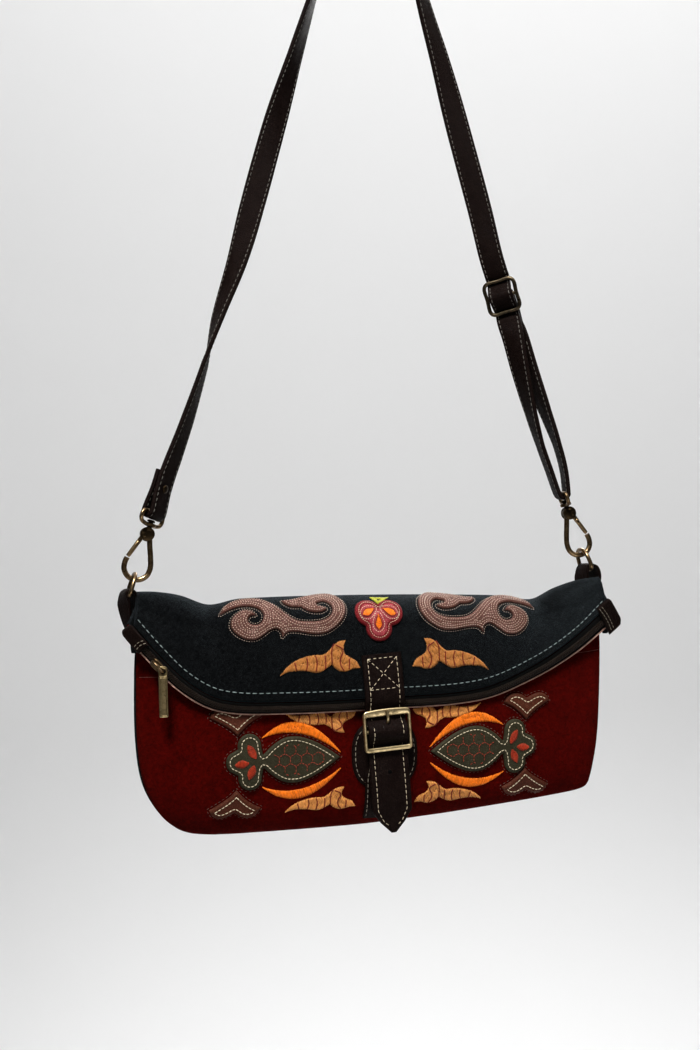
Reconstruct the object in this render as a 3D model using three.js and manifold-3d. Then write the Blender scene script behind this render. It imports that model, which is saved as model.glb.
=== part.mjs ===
// A fold-over pouch bag on a shoulder strap, hanging. A felt pouch with an arched zip top is folded forward,
// so that its back panel becomes the flap and the zip lies along the flap's lower edge. A buckled strap
// holds the flap down. Leather appliques are sewn to the felt. Two snap hooks clip the shoulder strap to
// rings at the ends of the fold.
import * as THREE from "three";
import { mergeVertices } from "three/addons/utils/BufferGeometryUtils.js";
import Module from "manifold-3d";

const wasm = await Module();
wasm.setup();

// Driving dimensions, in millimetres. The pouch lies across X, its side and bottom seams in the plane y = 0
// and its front towards -Y. The middle of the folded top is at z = 0, and the bag is lowered at the end to
// hang at the origin.
const HANG = { x: 13, z: 448.4 };
const FELT = 2;
const LEATHER = 1.2;
const FIT = 0.3;

// The pouch below the fold. rise is the height above the bottom seam, left and right are the side seams,
// front and back say how far the middle of each wall stands off the seam, and side_power is how squarely it
// turns to the sides.
const SEAM_OFFSET = 1.3;
const POUCH_SECTIONS = [
  { rise: 0, left: -98, right: 128, front: 0, back: 0, side_power: 0.5 },
  { rise: 2, left: -114, right: 132.5, front: 4.2, back: 3.5, side_power: 0.5 },
  { rise: 7, left: -124.5, right: 135, front: 8.2, back: 7, side_power: 0.5 },
  { rise: 16, left: -133, right: 137.3, front: 11.8, back: 10.4, side_power: 0.5 },
  { rise: 32, left: -140.5, right: 140.2, front: 14.6, back: 13.4, side_power: 0.5 },
  { rise: 55, left: -143.5, right: 142.5, front: 15.6, back: 15.2, side_power: 0.55 },
  { rise: 93, left: -143.5, right: 144.5, front: 15, back: 15.6, side_power: 0.8 },
  { rise: 117, left: -142.5, right: 145, front: 13.6, back: 15.2, side_power: 1 },
];
const POUCH_ROUNDING = 4;
const FOLD_ROUNDING = 3;
const BOTTOM_LINE = [
  { x: -145, z: -136.5 },
  { x: -20, z: -136.4 },
  { x: 34, z: -133.6 },
  { x: 73, z: -130.4 },
  { x: 106, z: -127.3 },
  { x: 145, z: -122.8 },
];
const LOWEST = -136.5;
const FRONT_SEAM_RISE = 93;
const FRONT_SEAM_GAP = 0.4;

// The fold. base is where the walls start to turn, at the middle and at the ends; the crest of the front
// wall turns inside the back wall, and the top line gives the sag and the two dents between the raised ends.
const FOLD = { base: -18, end_base: -2, end_power: 6, crease: 4.6, flap_gap: 2.6 };
const FOLD_TOP_LINE = [
  { x: -146, z: 6.5 },
  { x: -132, z: 6 },
  { x: -118, z: 3.5 },
  { x: -101, z: -2.5 },
  { x: -82, z: 0.4 },
  { x: 0, z: 0 },
  { x: 78, z: -3 },
  { x: 101, z: -6 },
  { x: 116, z: 0.5 },
  { x: 132, z: 5 },
  { x: 146, z: 6.5 },
];

// The flap's edge by its share of the way along the zip: the back wall's edge, how far the zip drops below
// it and how far it is set back under it.
const FLAP_EDGE = [
  { share: 0, x: -145.5, y: -11.5, z: -13.5, drop: 6.5, set_back: 3.5 },
  { share: 0.045, x: -134, y: -16, z: -28, drop: 6.7, set_back: 4.5 },
  { share: 0.1, x: -116, y: -20.5, z: -46.5, drop: 7, set_back: 4.7 },
  { share: 0.16, x: -97, y: -22.8, z: -57, drop: 7, set_back: 4.7 },
  { share: 0.28, x: -62, y: -24.3, z: -60, drop: 7, set_back: 4.7 },
  { share: 0.5, x: 1, y: -24.6, z: -60.2, drop: 7, set_back: 4.7 },
  { share: 0.7, x: 58, y: -23.8, z: -58, drop: 7.2, set_back: 4.7 },
  { share: 0.82, x: 92, y: -21.8, z: -46.5, drop: 8, set_back: 4.7 },
  { share: 0.92, x: 121, y: -17.5, z: -31, drop: 9.5, set_back: 4.5 },
  { share: 1, x: 148.5, y: -11.5, z: -11.5, drop: 10.5, set_back: 3.5 },
];
const FLAP_BULGE = 1.2;
const EDGE_TRIM = { over: 0.9, under: 4.2 };

// The zip: tape thickness behind its middle, how much of the width stays clear of the felt, how far the tape
// runs past the felt at each end, and its section across, with the closed teeth as a ridge.
const ZIP = { tape: 0.6, edge_gap: 0.05, overhang: 0.6 };
const ZIP_PROFILE = [
  { across: 0, lift: 0.5 },
  { across: 0.32, lift: 0.5 },
  { across: 0.37, lift: 1.3 },
  { across: 0.63, lift: 1.3 },
  { across: 0.68, lift: 0.5 },
  { across: 1, lift: 0.5 },
];
const ZIP_TAB = { thickness: LEATHER, wrap: 0.4 };
const ZIP_TABS = [
  { name: "left", end: 0, out: -1, width: 7.4, cover: 13 },
  { name: "right", end: 1, out: 1, width: 10.6, cover: 11 },
];
const SLIDER = { share: 0.06, length: 9, width: 6, thickness: 1.8, clear: 1.6 };
const CROWN = { radius: 4, bar: 1.8, lift: 3.6 };
const PULL = { width: 6, thickness: 1.4, length: 29, above_hole: 2.9, hole: 3.2 };
const PULL_PANEL = { rim: 1.2, depth: 0.25, length: 20 };

// The rings and hooks at the two ends of the fold. x and z place the ring's straight bar, lean tips the pull
// of the strap inwards, eye_turn turns the hook's strap eye, and gate is the side its gate is on.
const RING = { wire: 2.5, width: 17.5, height: 12.8, y: 2 };
const RING_TAB = { width: 14, thickness: 1.8 };
const HOOK_SIDES = [
  { name: "left", x: -147, z: 4.5, lean: 18.5, eye_turn: -131, gate: -1 },
  { name: "right", x: 140, z: 11.4, lean: -17.4, eye_turn: -82, gate: 1 },
];
const HOOK = { wire: 3.2, head: 8.4, head_depth: 5.4, head_up: 27.5, post: 3 };
const EYE = { up: 33.2, bar_up: 40.6, wire: 2.4, boss: 7 };
const GATE = { wire: 2.6, pivot_in: 1.9, pivot_up: 26.6, tongue: 1.8, pin: 1.8, root: 4.4 };

// The shoulder strap. Each strand's rows give its middle and the turn of its width, in degrees from X
// towards Y.
const STRAP = { width: 15, thickness: 2.4 };
const LEFT_STRAND = [
  { x: -117.8, z: 86, turn: -130 },
  { x: -109.4, z: 108, turn: -121 },
  { x: -98.5, z: 140, turn: -105 },
  { x: -90, z: 168, turn: -72 },
  { x: -77.5, z: 202, turn: -44 },
  { x: -66.5, z: 239, turn: -12 },
  { x: -52, z: 287, turn: 16 },
  { x: -40, z: 324, turn: 48 },
  { x: -27.7, z: 362, turn: 68 },
  { x: -13, z: 407, turn: 84 },
];
const RIGHT_STRAND = [
  { x: 35, z: 407, turn: 76 },
  { x: 43.4, z: 366, turn: 40 },
  { x: 53.3, z: 329, turn: 20 },
  { x: 63.9, z: 286, turn: -8 },
  { x: 76.4, z: 236, turn: -26 },
];
const STRAP_TOP = { radius: 15, from: 168, to: 12, rows: 7 };

// The slide on the right strand, and how the strap weaves through it: down is the distance along the strand
// from the slide's middle bar, and out is towards the front. The doubled stretch below hangs in a loop.
const SLIDE = { x: 89, z: 183, turn: -30, wire: 2.4, half_width: 9.4, half_height: 9.8 };
const WEAVE = [
  { down: -26, out: 0 },
  { down: -15, out: -1.8 },
  { down: -9.8, out: -3.15 },
  { down: -5, out: 0.9 },
  { down: -2, out: 4.3 },
  { down: 0, out: 4.8 },
  { down: 2, out: 4.3 },
  { down: 5, out: 0.9 },
  { down: 9.8, out: -3.15 },
  { down: 16, out: -1 },
];
const LOOP = [
  { x: 96.2, z: 159, turn: -48, front: 2, back: -4 },
  { x: 102.4, z: 138, turn: -60, front: 4, back: -4 },
  { x: 110.8, z: 110, turn: -74, front: 5, back: -5 },
  { x: 117, z: 90, turn: -82, front: 5.2, back: -5.2 },
  { x: 121.8, z: 73.5, turn: -82, front: 4.6, back: -4.6 },
];
const RETURN_WRAP = [
  { down: 16, out: -4.9, thickness: 2.4 },
  { down: 9.8, out: -5.8, thickness: 2 },
  { down: 5.2, out: -3.6, thickness: 1.5 },
  { down: 2.6, out: -0.9, thickness: 1.4 },
  { down: 1.8, out: 1.3, thickness: 1.4 },
  { down: 0, out: 2.3, thickness: 1.4 },
  { down: -1.8, out: 1.3, thickness: 1.4 },
  { down: -2.3, out: -0.4, thickness: 1.4 },
  { down: -1.1, out: -2, thickness: 1.4 },
  { down: 1.6, out: -3.8, thickness: 1.4 },
  { down: 5.2, out: -6, thickness: 1.4 },
  { down: 9.8, out: -8.3, thickness: 1.4 },
  { down: 16, out: -7.6, thickness: 1.4 },
  { down: 22, out: -7.2, thickness: 1.4 },
];
const STRAP_END = { tail: 25, gather: 12, rivet_up: 15, rivet: 2.4, rivet_head: 5 };

// The buckle strap, its middle in y by height, set at a slight tilt; the frame, its bar and the leather
// behind it.
const BUCKLE = { x: -2.6, tilt: -3.5, pivot_z: -50 };
const BUCKLE_FRAME = { width: 29, top: -67, foot: -91.5, side: 2.1, top_bar: 5, foot_bar: 3, arch: 1.4 };
const BUCKLE_CORNER = 2.5;
const BUCKLE_PLANE = { y: -26.8, lean: 4.5, thickness: 2.4, bar_y: -25, bar_z: -79.5, bar: 2.2 };
const BUCKLE_STRAP = { thickness: 2.2, hole_z: -104, hole: 3.4, slot_top: -72.4, slot_foot: -77.8, slot: 3.2 };
const BUCKLE_STRAP_ROWS = [
  { z: -34, y: -27.3, width: 24 },
  { z: -42, y: -27.9, width: 24 },
  { z: -52, y: -28.1, width: 24 },
  { z: -61, y: -27.4, width: 24 },
  { z: -65, y: -25, width: 24 },
  { z: -72.2, y: -24.9, width: 24 },
  { z: -75, y: -27.2, width: 24 },
  { z: -77, y: -28.9, width: 24 },
  { z: -79.5, y: -29.6, width: 24 },
  { z: -82, y: -28.9, width: 24 },
  { z: -84.4, y: -26.4, width: 24 },
  { z: -87.4, y: -23.5, width: 24 },
  { z: -91.5, y: -23.2, width: 24 },
  { z: -108, y: -23.2, width: 24 },
  { z: -120, y: -22.6, width: 24 },
  { z: -127, y: -21.8, width: 24 },
  { z: -134, y: -20.8, width: 14.5 },
  { z: -140, y: -20, width: 3 },
];
const PRONG = { wire: 1.8, root: 5, root_hole: 2.9, root_width: 3.6 };
const PATCH = { x: -1.5, z: -94, half_width: 20, half_height: 20.5, squareness: 2.6, points: 20 };
const CHAPE = { width: 21, thickness: 1.4, foot_z: -130.5, slot: 5 };

// Appliques. The left scroll's outline is in x and distance down from the top of the fold.
const SCROLL = [
  [-96, 14], [-91.6, 9], [-79.1, 6.6], [-71.5, 8.3], [-65.7, 12.3], [-55.2, 21.7], [-49.6, 24], [-37.1, 24.1],
  [-32.1, 21.7], [-30.2, 18.1], [-31.5, 14.3], [-35, 12], [-39.4, 13.4], [-39, 15.1], [-33.8, 17.5],
  [-36.4, 19.2], [-40.5, 19.4], [-44.9, 18.3], [-48.7, 15.6], [-54.9, 14.9], [-58.4, 12.3], [-59.2, 9.9],
  [-53.2, 9.6], [-38.7, 4.8], [-31, 3.9], [-25.5, 8.7], [-22.8, 14.4], [-22.6, 19.2], [-24.4, 23.6],
  [-28.7, 27.8], [-34.9, 31.4], [-41.5, 32], [-54.5, 29.7], [-58.5, 30.2], [-61.3, 32.9], [-61.8, 29.7],
  [-64.3, 27.5], [-67.6, 28], [-72.4, 31.1], [-76.9, 33.2], [-82.5, 32.4], [-87.8, 28.1], [-90.5, 22.8],
  [-89.7, 19], [-86.3, 16.7], [-81.9, 15.8], [-78.3, 16.8], [-76, 19.3], [-79.2, 19.5], [-81, 21.7],
  [-79.6, 23.8], [-75.9, 24.7], [-72.6, 22.9], [-71.5, 19.5], [-73.6, 15.8], [-78.4, 13.4], [-84, 12.8],
  [-90, 13],
];
const FLOWER = {
  x: -2.8,
  down: 23.9,
  points: 24,
  lobes: [
    { x: -9.3, down: 20.8, r: 7.9 },
    { x: 3.9, down: 20.9, r: 7.9 },
    { x: -3.4, down: 30, r: 7.9 },
  ],
};
const POMEGRANATE = {
  z: -94,
  body: [[27.5, 0], [35, 5.4], [44, 10.6], [53, 13.5], [60.5, 13], [68, 8.8], [73.5, 3.7]],
  side_lobe: { x: 81.3, y: 9.4, r: 6.9 },
  end_lobe: { x: 88.4, y: 0, r: 6.7 },
};
const CORNER_LEAF = {
  outline: [
    [-15.2, -0.8], [-8.9, 2.6], [-3.1, 6.4], [0.7, 10.1], [5.3, 5.2], [9.9, 1.6], [15, -1], [12.1, -4.7], [8.3, -6.2],
    [3.7, -5.6], [-0.4, -3], [-4.7, -5], [-9.2, -5.8], [-13.1, -4.2],
  ],
  places: [
    { name: "left_upper", x: -88.6, z: -68.7, up: -1 },
    { name: "right_upper", x: 89.8, z: -68.6, up: -1 },
    { name: "left_lower", x: -90, z: -120, up: 1 },
    { name: "right_lower", x: 88.5, z: -117.6, up: 1 },
  ],
};

// Tables are read with a smooth curve through one column's values.
function curveOf(rows, key, column) {
  const at = rows.map((row) => row[key]);
  const value = rows.map((row) => row[column]);
  const last = rows.length - 1;
  const slope = at.map((_, i) => {
    const before = Math.max(i - 1, 0);
    const after = Math.min(i + 1, last);
    return (value[after] - value[before]) / (at[after] - at[before]);
  });
  return (where) => {
    const w = THREE.MathUtils.clamp(where, at[0], at[last]);
    const i = Math.min(Math.max(at.findIndex((a) => a >= w) - 1, 0), last - 1);
    const span = at[i + 1] - at[i];
    const t = (w - at[i]) / span;
    const t2 = t * t;
    const t3 = t2 * t;
    return (
      value[i] * (2 * t3 - 3 * t2 + 1) +
      slope[i] * span * (t3 - 2 * t2 + t) +
      value[i + 1] * (3 * t2 - 2 * t3) +
      slope[i + 1] * span * (t3 - t2)
    );
  };
}

function curvesOf(rows, key, columns) {
  return Object.fromEntries(columns.map((column) => [column, curveOf(rows, key, column)]));
}

const pouch = curvesOf(POUCH_SECTIONS, "rise", ["left", "right", "front", "back", "side_power"]);
const bottomLine = curveOf(BOTTOM_LINE, "x", "z");
const foldTop = curveOf(FOLD_TOP_LINE, "x", "z");
const flapEdge = curvesOf(FLAP_EDGE, "share", ["x", "y", "z", "drop", "set_back"]);
const lerp = THREE.MathUtils.lerp;
const vec = (x, y, z) => new THREE.Vector3(x, y, z);

// A closed solid from two facing grids of points, joined round their four borders.
function solidBetween(outer, inner) {
  const rows = outer.length;
  const columns = outer[0].length;
  const points = [...outer.flat(), ...inner.flat()];
  const under = rows * columns;
  const index = [];
  const quad = (a, b, c, d) => index.push(a, b, c, a, c, d);
  for (let r = 0; r + 1 < rows; r++) {
    for (let c = 0; c + 1 < columns; c++) {
      const a = r * columns + c;
      quad(a, a + 1, a + columns + 1, a + columns);
      quad(under + a, under + a + columns, under + a + columns + 1, under + a + 1);
    }
  }
  const wall = (a, b) => quad(b, a, under + a, under + b);
  for (let c = 0; c + 1 < columns; c++) {
    wall(c, c + 1);
    wall((rows - 1) * columns + c + 1, (rows - 1) * columns + c);
  }
  for (let r = 0; r + 1 < rows; r++) {
    wall((r + 1) * columns, r * columns);
    wall(r * columns + columns - 1, (r + 2) * columns - 1);
  }
  return indexed(points, index);
}

function indexed(points, index) {
  const geometry = new THREE.BufferGeometry();
  const numbers = points.flatMap((p) => [p.x, p.y, p.z]);
  geometry.setAttribute("position", new THREE.Float32BufferAttribute(numbers, 3));
  geometry.setIndex(index);
  return geometry;
}

// The unit normal of a surface point(u, v), by small steps kept inside the unit square in u.
const NORMAL_STEP = 1e-3;
function normalAt(surface, u, v, lowV, highV) {
  const u0 = Math.max(u - NORMAL_STEP, 0);
  const u1 = Math.min(u + NORMAL_STEP, 1);
  const v0 = Math.max(v - NORMAL_STEP, lowV);
  const v1 = Math.min(v + NORMAL_STEP, highV);
  const along = surface(u1, v).sub(surface(u0, v));
  const up = surface(u, v1).sub(surface(u, v0));
  return along.cross(up).normalize();
}

// A wall of even thickness about a middle surface, sampled at the given columns and rows.
function wallAbout(surface, us, vs, thickness) {
  const outer = [];
  const inner = [];
  for (const v of vs) {
    const facing = us.map((u) => normalAt(surface, u, v, vs[0], vs.at(-1)));
    outer.push(us.map((u, i) => surface(u, v).addScaledVector(facing[i], thickness / 2)));
    inner.push(us.map((u, i) => surface(u, v).addScaledVector(facing[i], -thickness / 2)));
  }
  return solidBetween(outer, inner);
}

const steps = (count) => Array.from({ length: count + 1 }, (_, i) => i / count);

// Columns across the pouch, closer together towards the side seams.
const PANEL_COLUMNS = 18;
const SIDE_CROWDING = 0.55;
const columns = steps(PANEL_COLUMNS).map((s) => lerp(s, 0.5 - 0.5 * Math.cos(Math.PI * s), SIDE_CROWDING));
const endShare = (u) => Math.abs(2 * u - 1);
const foldBow = (u) => 1 - endShare(u) ** FOLD_ROUNDING;

// A wall of the pouch below the fold: u runs from the left seam to the right one, and side is -1 at the
// front.
function pouchPoint(u, rise, side) {
  const x = lerp(pouch.left(rise), pouch.right(rise), u);
  const foot = bottomLine(x);
  const z = foot + (rise * (foldBase(u) - foot)) / (foldBase(u) - LOWEST);
  const power = pouch.side_power(rise);
  const rounding = lerp(POUCH_ROUNDING, FOLD_ROUNDING, power * 2 - 1);
  const bow = (1 - endShare(u) ** rounding) ** power;
  const depth = (side < 0 ? pouch.front(rise) : pouch.back(rise)) * bow;
  return vec(x, side * (SEAM_OFFSET + depth), z);
}

function foldBase(u) {
  return lerp(FOLD.base, FOLD.end_base, endShare(u) ** FOLD.end_power);
}

// Where the fold's limbs stand: the front wall, its return under the flap, and the flap's outer wall.
const foldX = (u) => lerp(pouch.left(117), pouch.right(117), u);
const frontLimbY = (u) => pouchPoint(u, foldBase(u) - LOWEST, -1).y;
const underFlapY = (u) => frontLimbY(u) - FOLD.crease;
const flapY = (u) => underFlapY(u) - FOLD.flap_gap;

// The flap's two edges, with the zip between them.
function upperEdge(u) {
  return vec(flapEdge.x(u), flapEdge.y(u), flapEdge.z(u));
}

function lowerEdge(u) {
  const step = 0.01;
  const ahead = upperEdge(Math.min(u + step, 1));
  const behind = upperEdge(Math.max(u - step, 0));
  const run = Math.hypot(ahead.x - behind.x, ahead.z - behind.z);
  const outX = (ahead.z - behind.z) / run;
  const outZ = -(ahead.x - behind.x) / run;
  const edge = upperEdge(u);
  return vec(
    edge.x + outX * flapEdge.drop(u),
    edge.y + flapEdge.set_back(u),
    edge.z + outZ * flapEdge.drop(u),
  );
}

// A place a little short of an edge, so that the felt stops clear of the zip.
function shortOf(start, edge, distance) {
  return edge.clone().addScaledVector(start.clone().sub(edge).normalize(), distance);
}

// The red upper strip: v from 0 to 1 up the front, 1 to 2 over its crest, 2 to 3 down under the flap to the
// zip.
function upperStripPoint(u, v) {
  const base = foldBase(u);
  if (v <= 1) {
    return pouchPoint(u, lerp(FRONT_SEAM_RISE + FRONT_SEAM_GAP, base - LOWEST, v), -1);
  }
  const radius = FOLD.crease / 2;
  if (v <= 2) {
    const turn = Math.PI * (v - 1);
    return vec(foldX(u), frontLimbY(u) - radius * (1 - Math.cos(turn)), base + radius * Math.sin(turn));
  }
  const start = vec(foldX(u), underFlapY(u), base);
  return start.clone().lerp(shortOf(start, lowerEdge(u), EDGE_TRIM.under), v - 2);
}

// The back panel: v from 0 to 1 up the back, 1 to 2 over the fold, 2 to 3 down the flap to its edge.
function backPoint(u, v) {
  const base = foldBase(u);
  if (v <= 1) {
    return pouchPoint(u, (base - LOWEST) * v, 1);
  }
  const backY = pouchPoint(u, base - LOWEST, 1).y;
  if (v <= 2) {
    const turn = Math.PI * (v - 1);
    const middle = (backY + flapY(u)) / 2;
    const half = (backY - flapY(u)) / 2;
    const x = foldX(u);
    return vec(x, middle + half * Math.cos(turn), base + (foldTop(x) - FELT / 2 - base) * Math.sin(turn));
  }
  const share = v - 2;
  const start = vec(foldX(u), flapY(u), base);
  const point = start.clone().lerp(shortOf(start, upperEdge(u), EDGE_TRIM.over), share);
  point.y -= FLAP_BULGE * 4 * share * (1 - share) * foldBow(u);
  return point;
}

const frontRows = [0, 1, 3, 7, 13, 22, 34, 48, 64, 79, FRONT_SEAM_RISE];
const stripRows = [0, 0.5, 1, 1.25, 1.5, 1.75, 2, 2.3, 2.65, 3];
const backRows = [
  0, 0.01, 0.03, 0.06, 0.12, 0.2, 0.32, 0.48, 0.66, 0.84, 1, 1.16, 1.33, 1.5, 1.67, 1.84, 2, 2.25, 2.5, 2.75, 3,
];
const frontPanel = wallAbout((u, v) => pouchPoint(u, v, -1), columns, frontRows, FELT);
const upperStrip = wallAbout(upperStripPoint, columns, stripRows, FELT);
const mirroredColumns = columns.map((u) => 1 - u).reverse();
const backPanel = wallAbout((u, v) => backPoint(1 - u, v), mirroredColumns, backRows, FELT);

// The zip between the flap's two edges: two strips of tape with the closed teeth as a ridge between them.
// share runs along the flap's edge, and along carries a place further, in millimetres, past the ends.
const ZIP_COLUMNS = 18;
function zipFrame(share) {
  const step = 0.01;
  const across = lowerEdge(share).sub(upperEdge(share));
  const along = upperEdge(Math.min(share + step, 1)).sub(upperEdge(Math.max(share - step, 0))).normalize();
  const facing = across.clone().cross(along).normalize();
  const place = (wide, lift, forward = 0) =>
    upperEdge(share)
      .addScaledVector(across, lerp(ZIP.edge_gap, 1 - ZIP.edge_gap, wide))
      .addScaledVector(facing, lift)
      .addScaledVector(along, forward);
  return { across: across.clone().normalize(), along, facing, place };
}

function zipBand() {
  const stations = [
    { share: 0, forward: -ZIP.overhang },
    ...steps(ZIP_COLUMNS).map((share) => ({ share, forward: 0 })),
    { share: 1, forward: ZIP.overhang },
  ];
  const outer = [];
  const inner = [];
  for (const { share, forward } of stations) {
    const frame = zipFrame(share);
    outer.push(ZIP_PROFILE.map((p) => frame.place(p.across, p.lift, forward)));
    inner.push(ZIP_PROFILE.map((p) => frame.place(p.across, -ZIP.tape, forward)));
  }
  return solidBetween(outer, inner);
}

// Booleans on closed meshes.
function solidOf(geometry) {
  const bare = geometry.clone();
  bare.deleteAttribute("normal");
  bare.deleteAttribute("uv");
  const merged = mergeVertices(bare, 1e-4);
  return new wasm.Manifold(
    new wasm.Mesh({
      numProp: 3,
      vertProperties: new Float32Array(merged.attributes.position.array),
      triVerts: new Uint32Array(merged.index.array),
    }),
  );
}

function geometryOf(solid) {
  const mesh = solid.getMesh();
  const geometry = new THREE.BufferGeometry();
  geometry.setAttribute("position", new THREE.Float32BufferAttribute(mesh.vertProperties, 3));
  geometry.setIndex([...mesh.triVerts]);
  return geometry;
}

const joined = (...pieces) => geometryOf(pieces.map(solidOf).reduce((a, b) => a.add(b)));
const cut = (piece, ...tools) => geometryOf(tools.map(solidOf).reduce((a, b) => a.subtract(b), solidOf(piece)));

// Bars, rings, discs and blocks.
const BAR_SIDES = 8;
function bar(points, diameter, count) {
  const straight = points.length === 2;
  const smooth = () => new THREE.CatmullRomCurve3(points, false, "centripetal");
  const curve = straight ? new THREE.LineCurve3(...points) : smooth();
  const section = new THREE.Shape();
  section.absarc(0, 0, diameter / 2, 0, 2 * Math.PI, false);
  return new THREE.ExtrudeGeometry(section, {
    steps: count,
    bevelEnabled: false,
    curveSegments: BAR_SIDES / 2,
    extrudePath: curve,
  });
}

const RING_SIDES = 6;
function ring(points, diameter, count) {
  const curve = new THREE.CatmullRomCurve3(points, true, "centripetal");
  return new THREE.TubeGeometry(curve, count, diameter / 2, RING_SIDES, true);
}

const disc = (diameter, height, sides = 12) =>
  new THREE.CylinderGeometry(diameter / 2, diameter / 2, height, sides);
const block = (x, y, z) => new THREE.BoxGeometry(x, y, z);
const moved = (geometry, x, y, z) => geometry.clone().translate(x, y, z);

// A flat strip along stations, each with a middle, a direction across and, where it differs, a thickness.
function ribbon(stations, width, thickness) {
  const upper = [];
  const lower = [];
  stations.forEach((station, i) => {
    const before = stations[Math.max(i - 1, 0)].at;
    const after = stations[Math.min(i + 1, stations.length - 1)].at;
    const run = after.clone().sub(before).normalize();
    const across = station.across.clone().addScaledVector(run, -run.dot(station.across)).normalize();
    const face = across.clone().cross(run);
    const half = (station.width ?? width) / 2;
    const lift = (station.thickness ?? thickness) / 2;
    const corner = (side, up) =>
      station.at
        .clone()
        .addScaledVector(across, side * half)
        .addScaledVector(face, up * lift);
    upper.push([corner(-1, 1), corner(1, 1)]);
    lower.push([corner(-1, -1), corner(1, -1)]);
  });
  return solidBetween(upper, lower);
}

// A strip laid along points in one plane, folded round whatever the points go round.
function foldedStrip(points, across, width, thickness, count) {
  const curve = new THREE.CatmullRomCurve3(points, false, "centripetal");
  return ribbon(curve.getSpacedPoints(count).map((at) => ({ at, across })), width, thickness);
}

// A flat outline laid on a surface. Its triangles are first cut along evenly spaced lines, so that it can
// bend.
function cutTriangles(points, triangles, axis, value) {
  const made = new Map();
  const gap = (i) => points[i][axis] - value;
  const side = (i) => (Math.abs(gap(i)) < 1e-6 ? 0 : Math.sign(gap(i)));
  const between = (i, j) => {
    const name = i < j ? `${i}-${j}` : `${j}-${i}`;
    if (!made.has(name)) {
      made.set(name, points.length);
      points.push(points[i].clone().lerp(points[j], gap(i) / (gap(i) - gap(j))));
    }
    return made.get(name);
  };
  const result = [];
  for (const triangle of triangles) {
    const sides = triangle.map(side);
    if (!sides.includes(1) || !sides.includes(-1)) {
      result.push(triangle);
      continue;
    }
    const turned = (k) => [triangle[k], triangle[(k + 1) % 3], triangle[(k + 2) % 3]];
    const onLine = sides.indexOf(0);
    if (onLine >= 0) {
      const [a, b, c] = turned(onLine);
      const m = between(b, c);
      result.push([a, b, m], [a, m, c]);
      continue;
    }
    const lone = sides.findIndex((s) => sides.filter((other) => other === s).length === 1);
    const [a, b, c] = turned(lone);
    const ab = between(a, b);
    const ac = between(a, c);
    result.push([a, ab, ac], [ab, b, c], [ab, c, ac]);
  }
  return result;
}

function drape(outline, place, spacing, lift, thickness) {
  const points = outline.map((p) => new THREE.Vector2(p.x, p.y));
  if (THREE.ShapeUtils.area(points) < 0) {
    points.reverse();
  }
  let triangles = THREE.ShapeUtils.triangulateShape([...points], []);
  for (const axis of ["x", "y"]) {
    const values = points.map((p) => p[axis]);
    const first = Math.ceil(Math.min(...values) / spacing[axis]);
    const last = Math.floor(Math.max(...values) / spacing[axis]);
    for (let line = first; line <= last; line++) {
      triangles = cutTriangles(points, triangles, axis, line * spacing[axis]);
    }
  }
  const under = points.length;
  const index = [];
  const seen = new Set();
  for (const [a, b, c] of triangles) {
    index.push(a, b, c, under + a, under + c, under + b);
    [[a, b], [b, c], [c, a]].forEach(([i, j]) => seen.add(`${i}-${j}`));
  }
  for (const name of seen) {
    const [i, j] = name.split("-").map(Number);
    if (!seen.has(`${j}-${i}`)) {
      index.push(j, i, under + i, j, under + i, under + j);
    }
  }
  const upper = points.map((p) => place(p.x, p.y, lift + thickness));
  const lower = points.map((p) => place(p.x, p.y, lift));
  return indexed([...upper, ...lower], index);
}

// A place on the front's outer face by its x and z, and on the flap's outer face by its x and its distance
// down from the top of the fold, each lifted off the felt.
function onFront(x, z, lift) {
  let u = 0.5;
  let rise = z - LOWEST;
  for (let pass = 0; pass < 6; pass++) {
    u = THREE.MathUtils.clamp((x - pouch.left(rise)) / (pouch.right(rise) - pouch.left(rise)), 0, 1);
    const foot = bottomLine(x);
    rise = ((z - foot) * (foldBase(u) - LOWEST)) / (foldBase(u) - foot);
  }
  const surface = (a, b) => pouchPoint(a, b, -1);
  return surface(u, rise).addScaledVector(normalAt(surface, u, rise, 0, 117), FELT / 2 + lift);
}

const FOLD_APEX = 1.5;
const FLAP_STEPS = 48;
function onFlap(x, down, lift) {
  const u = (x - pouch.left(117)) / (pouch.right(117) - pouch.left(117));
  let v = FOLD_APEX;
  let left = down;
  let point = backPoint(u, v);
  const step = (3 - FOLD_APEX) / FLAP_STEPS;
  while (v + step <= 3) {
    const next = backPoint(u, v + step);
    const length = next.distanceTo(point);
    if (length >= left) {
      v += (step * left) / length;
      break;
    }
    left -= length;
    v += step;
    point = next;
  }
  const facing = normalAt(backPoint, u, v, FOLD_APEX, 3).negate();
  return backPoint(u, v).addScaledVector(facing, FELT / 2 + lift);
}

// How far apart an applique is cut so that it bends with the felt, across and up.
const FLAP_GRID = { x: 60, y: 6 };
const FLAP_EASE = 0.2;
const FRONT_GRID = { x: 24, y: 40 };
const LEAF_GRID = { x: 40, y: 7 };
const PATCH_GRID = { x: 60, y: 16 };

// Outlines of the appliques, for the left or right side. Flap outlines are in x and distance down, taken
// upwards.
const mirrored = (outline, side) => outline.map((p) => ({ x: p.x * side, y: p.y }));
const scrollOutline = SCROLL.map(([x, down]) => ({ x, y: -down }));

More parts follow.
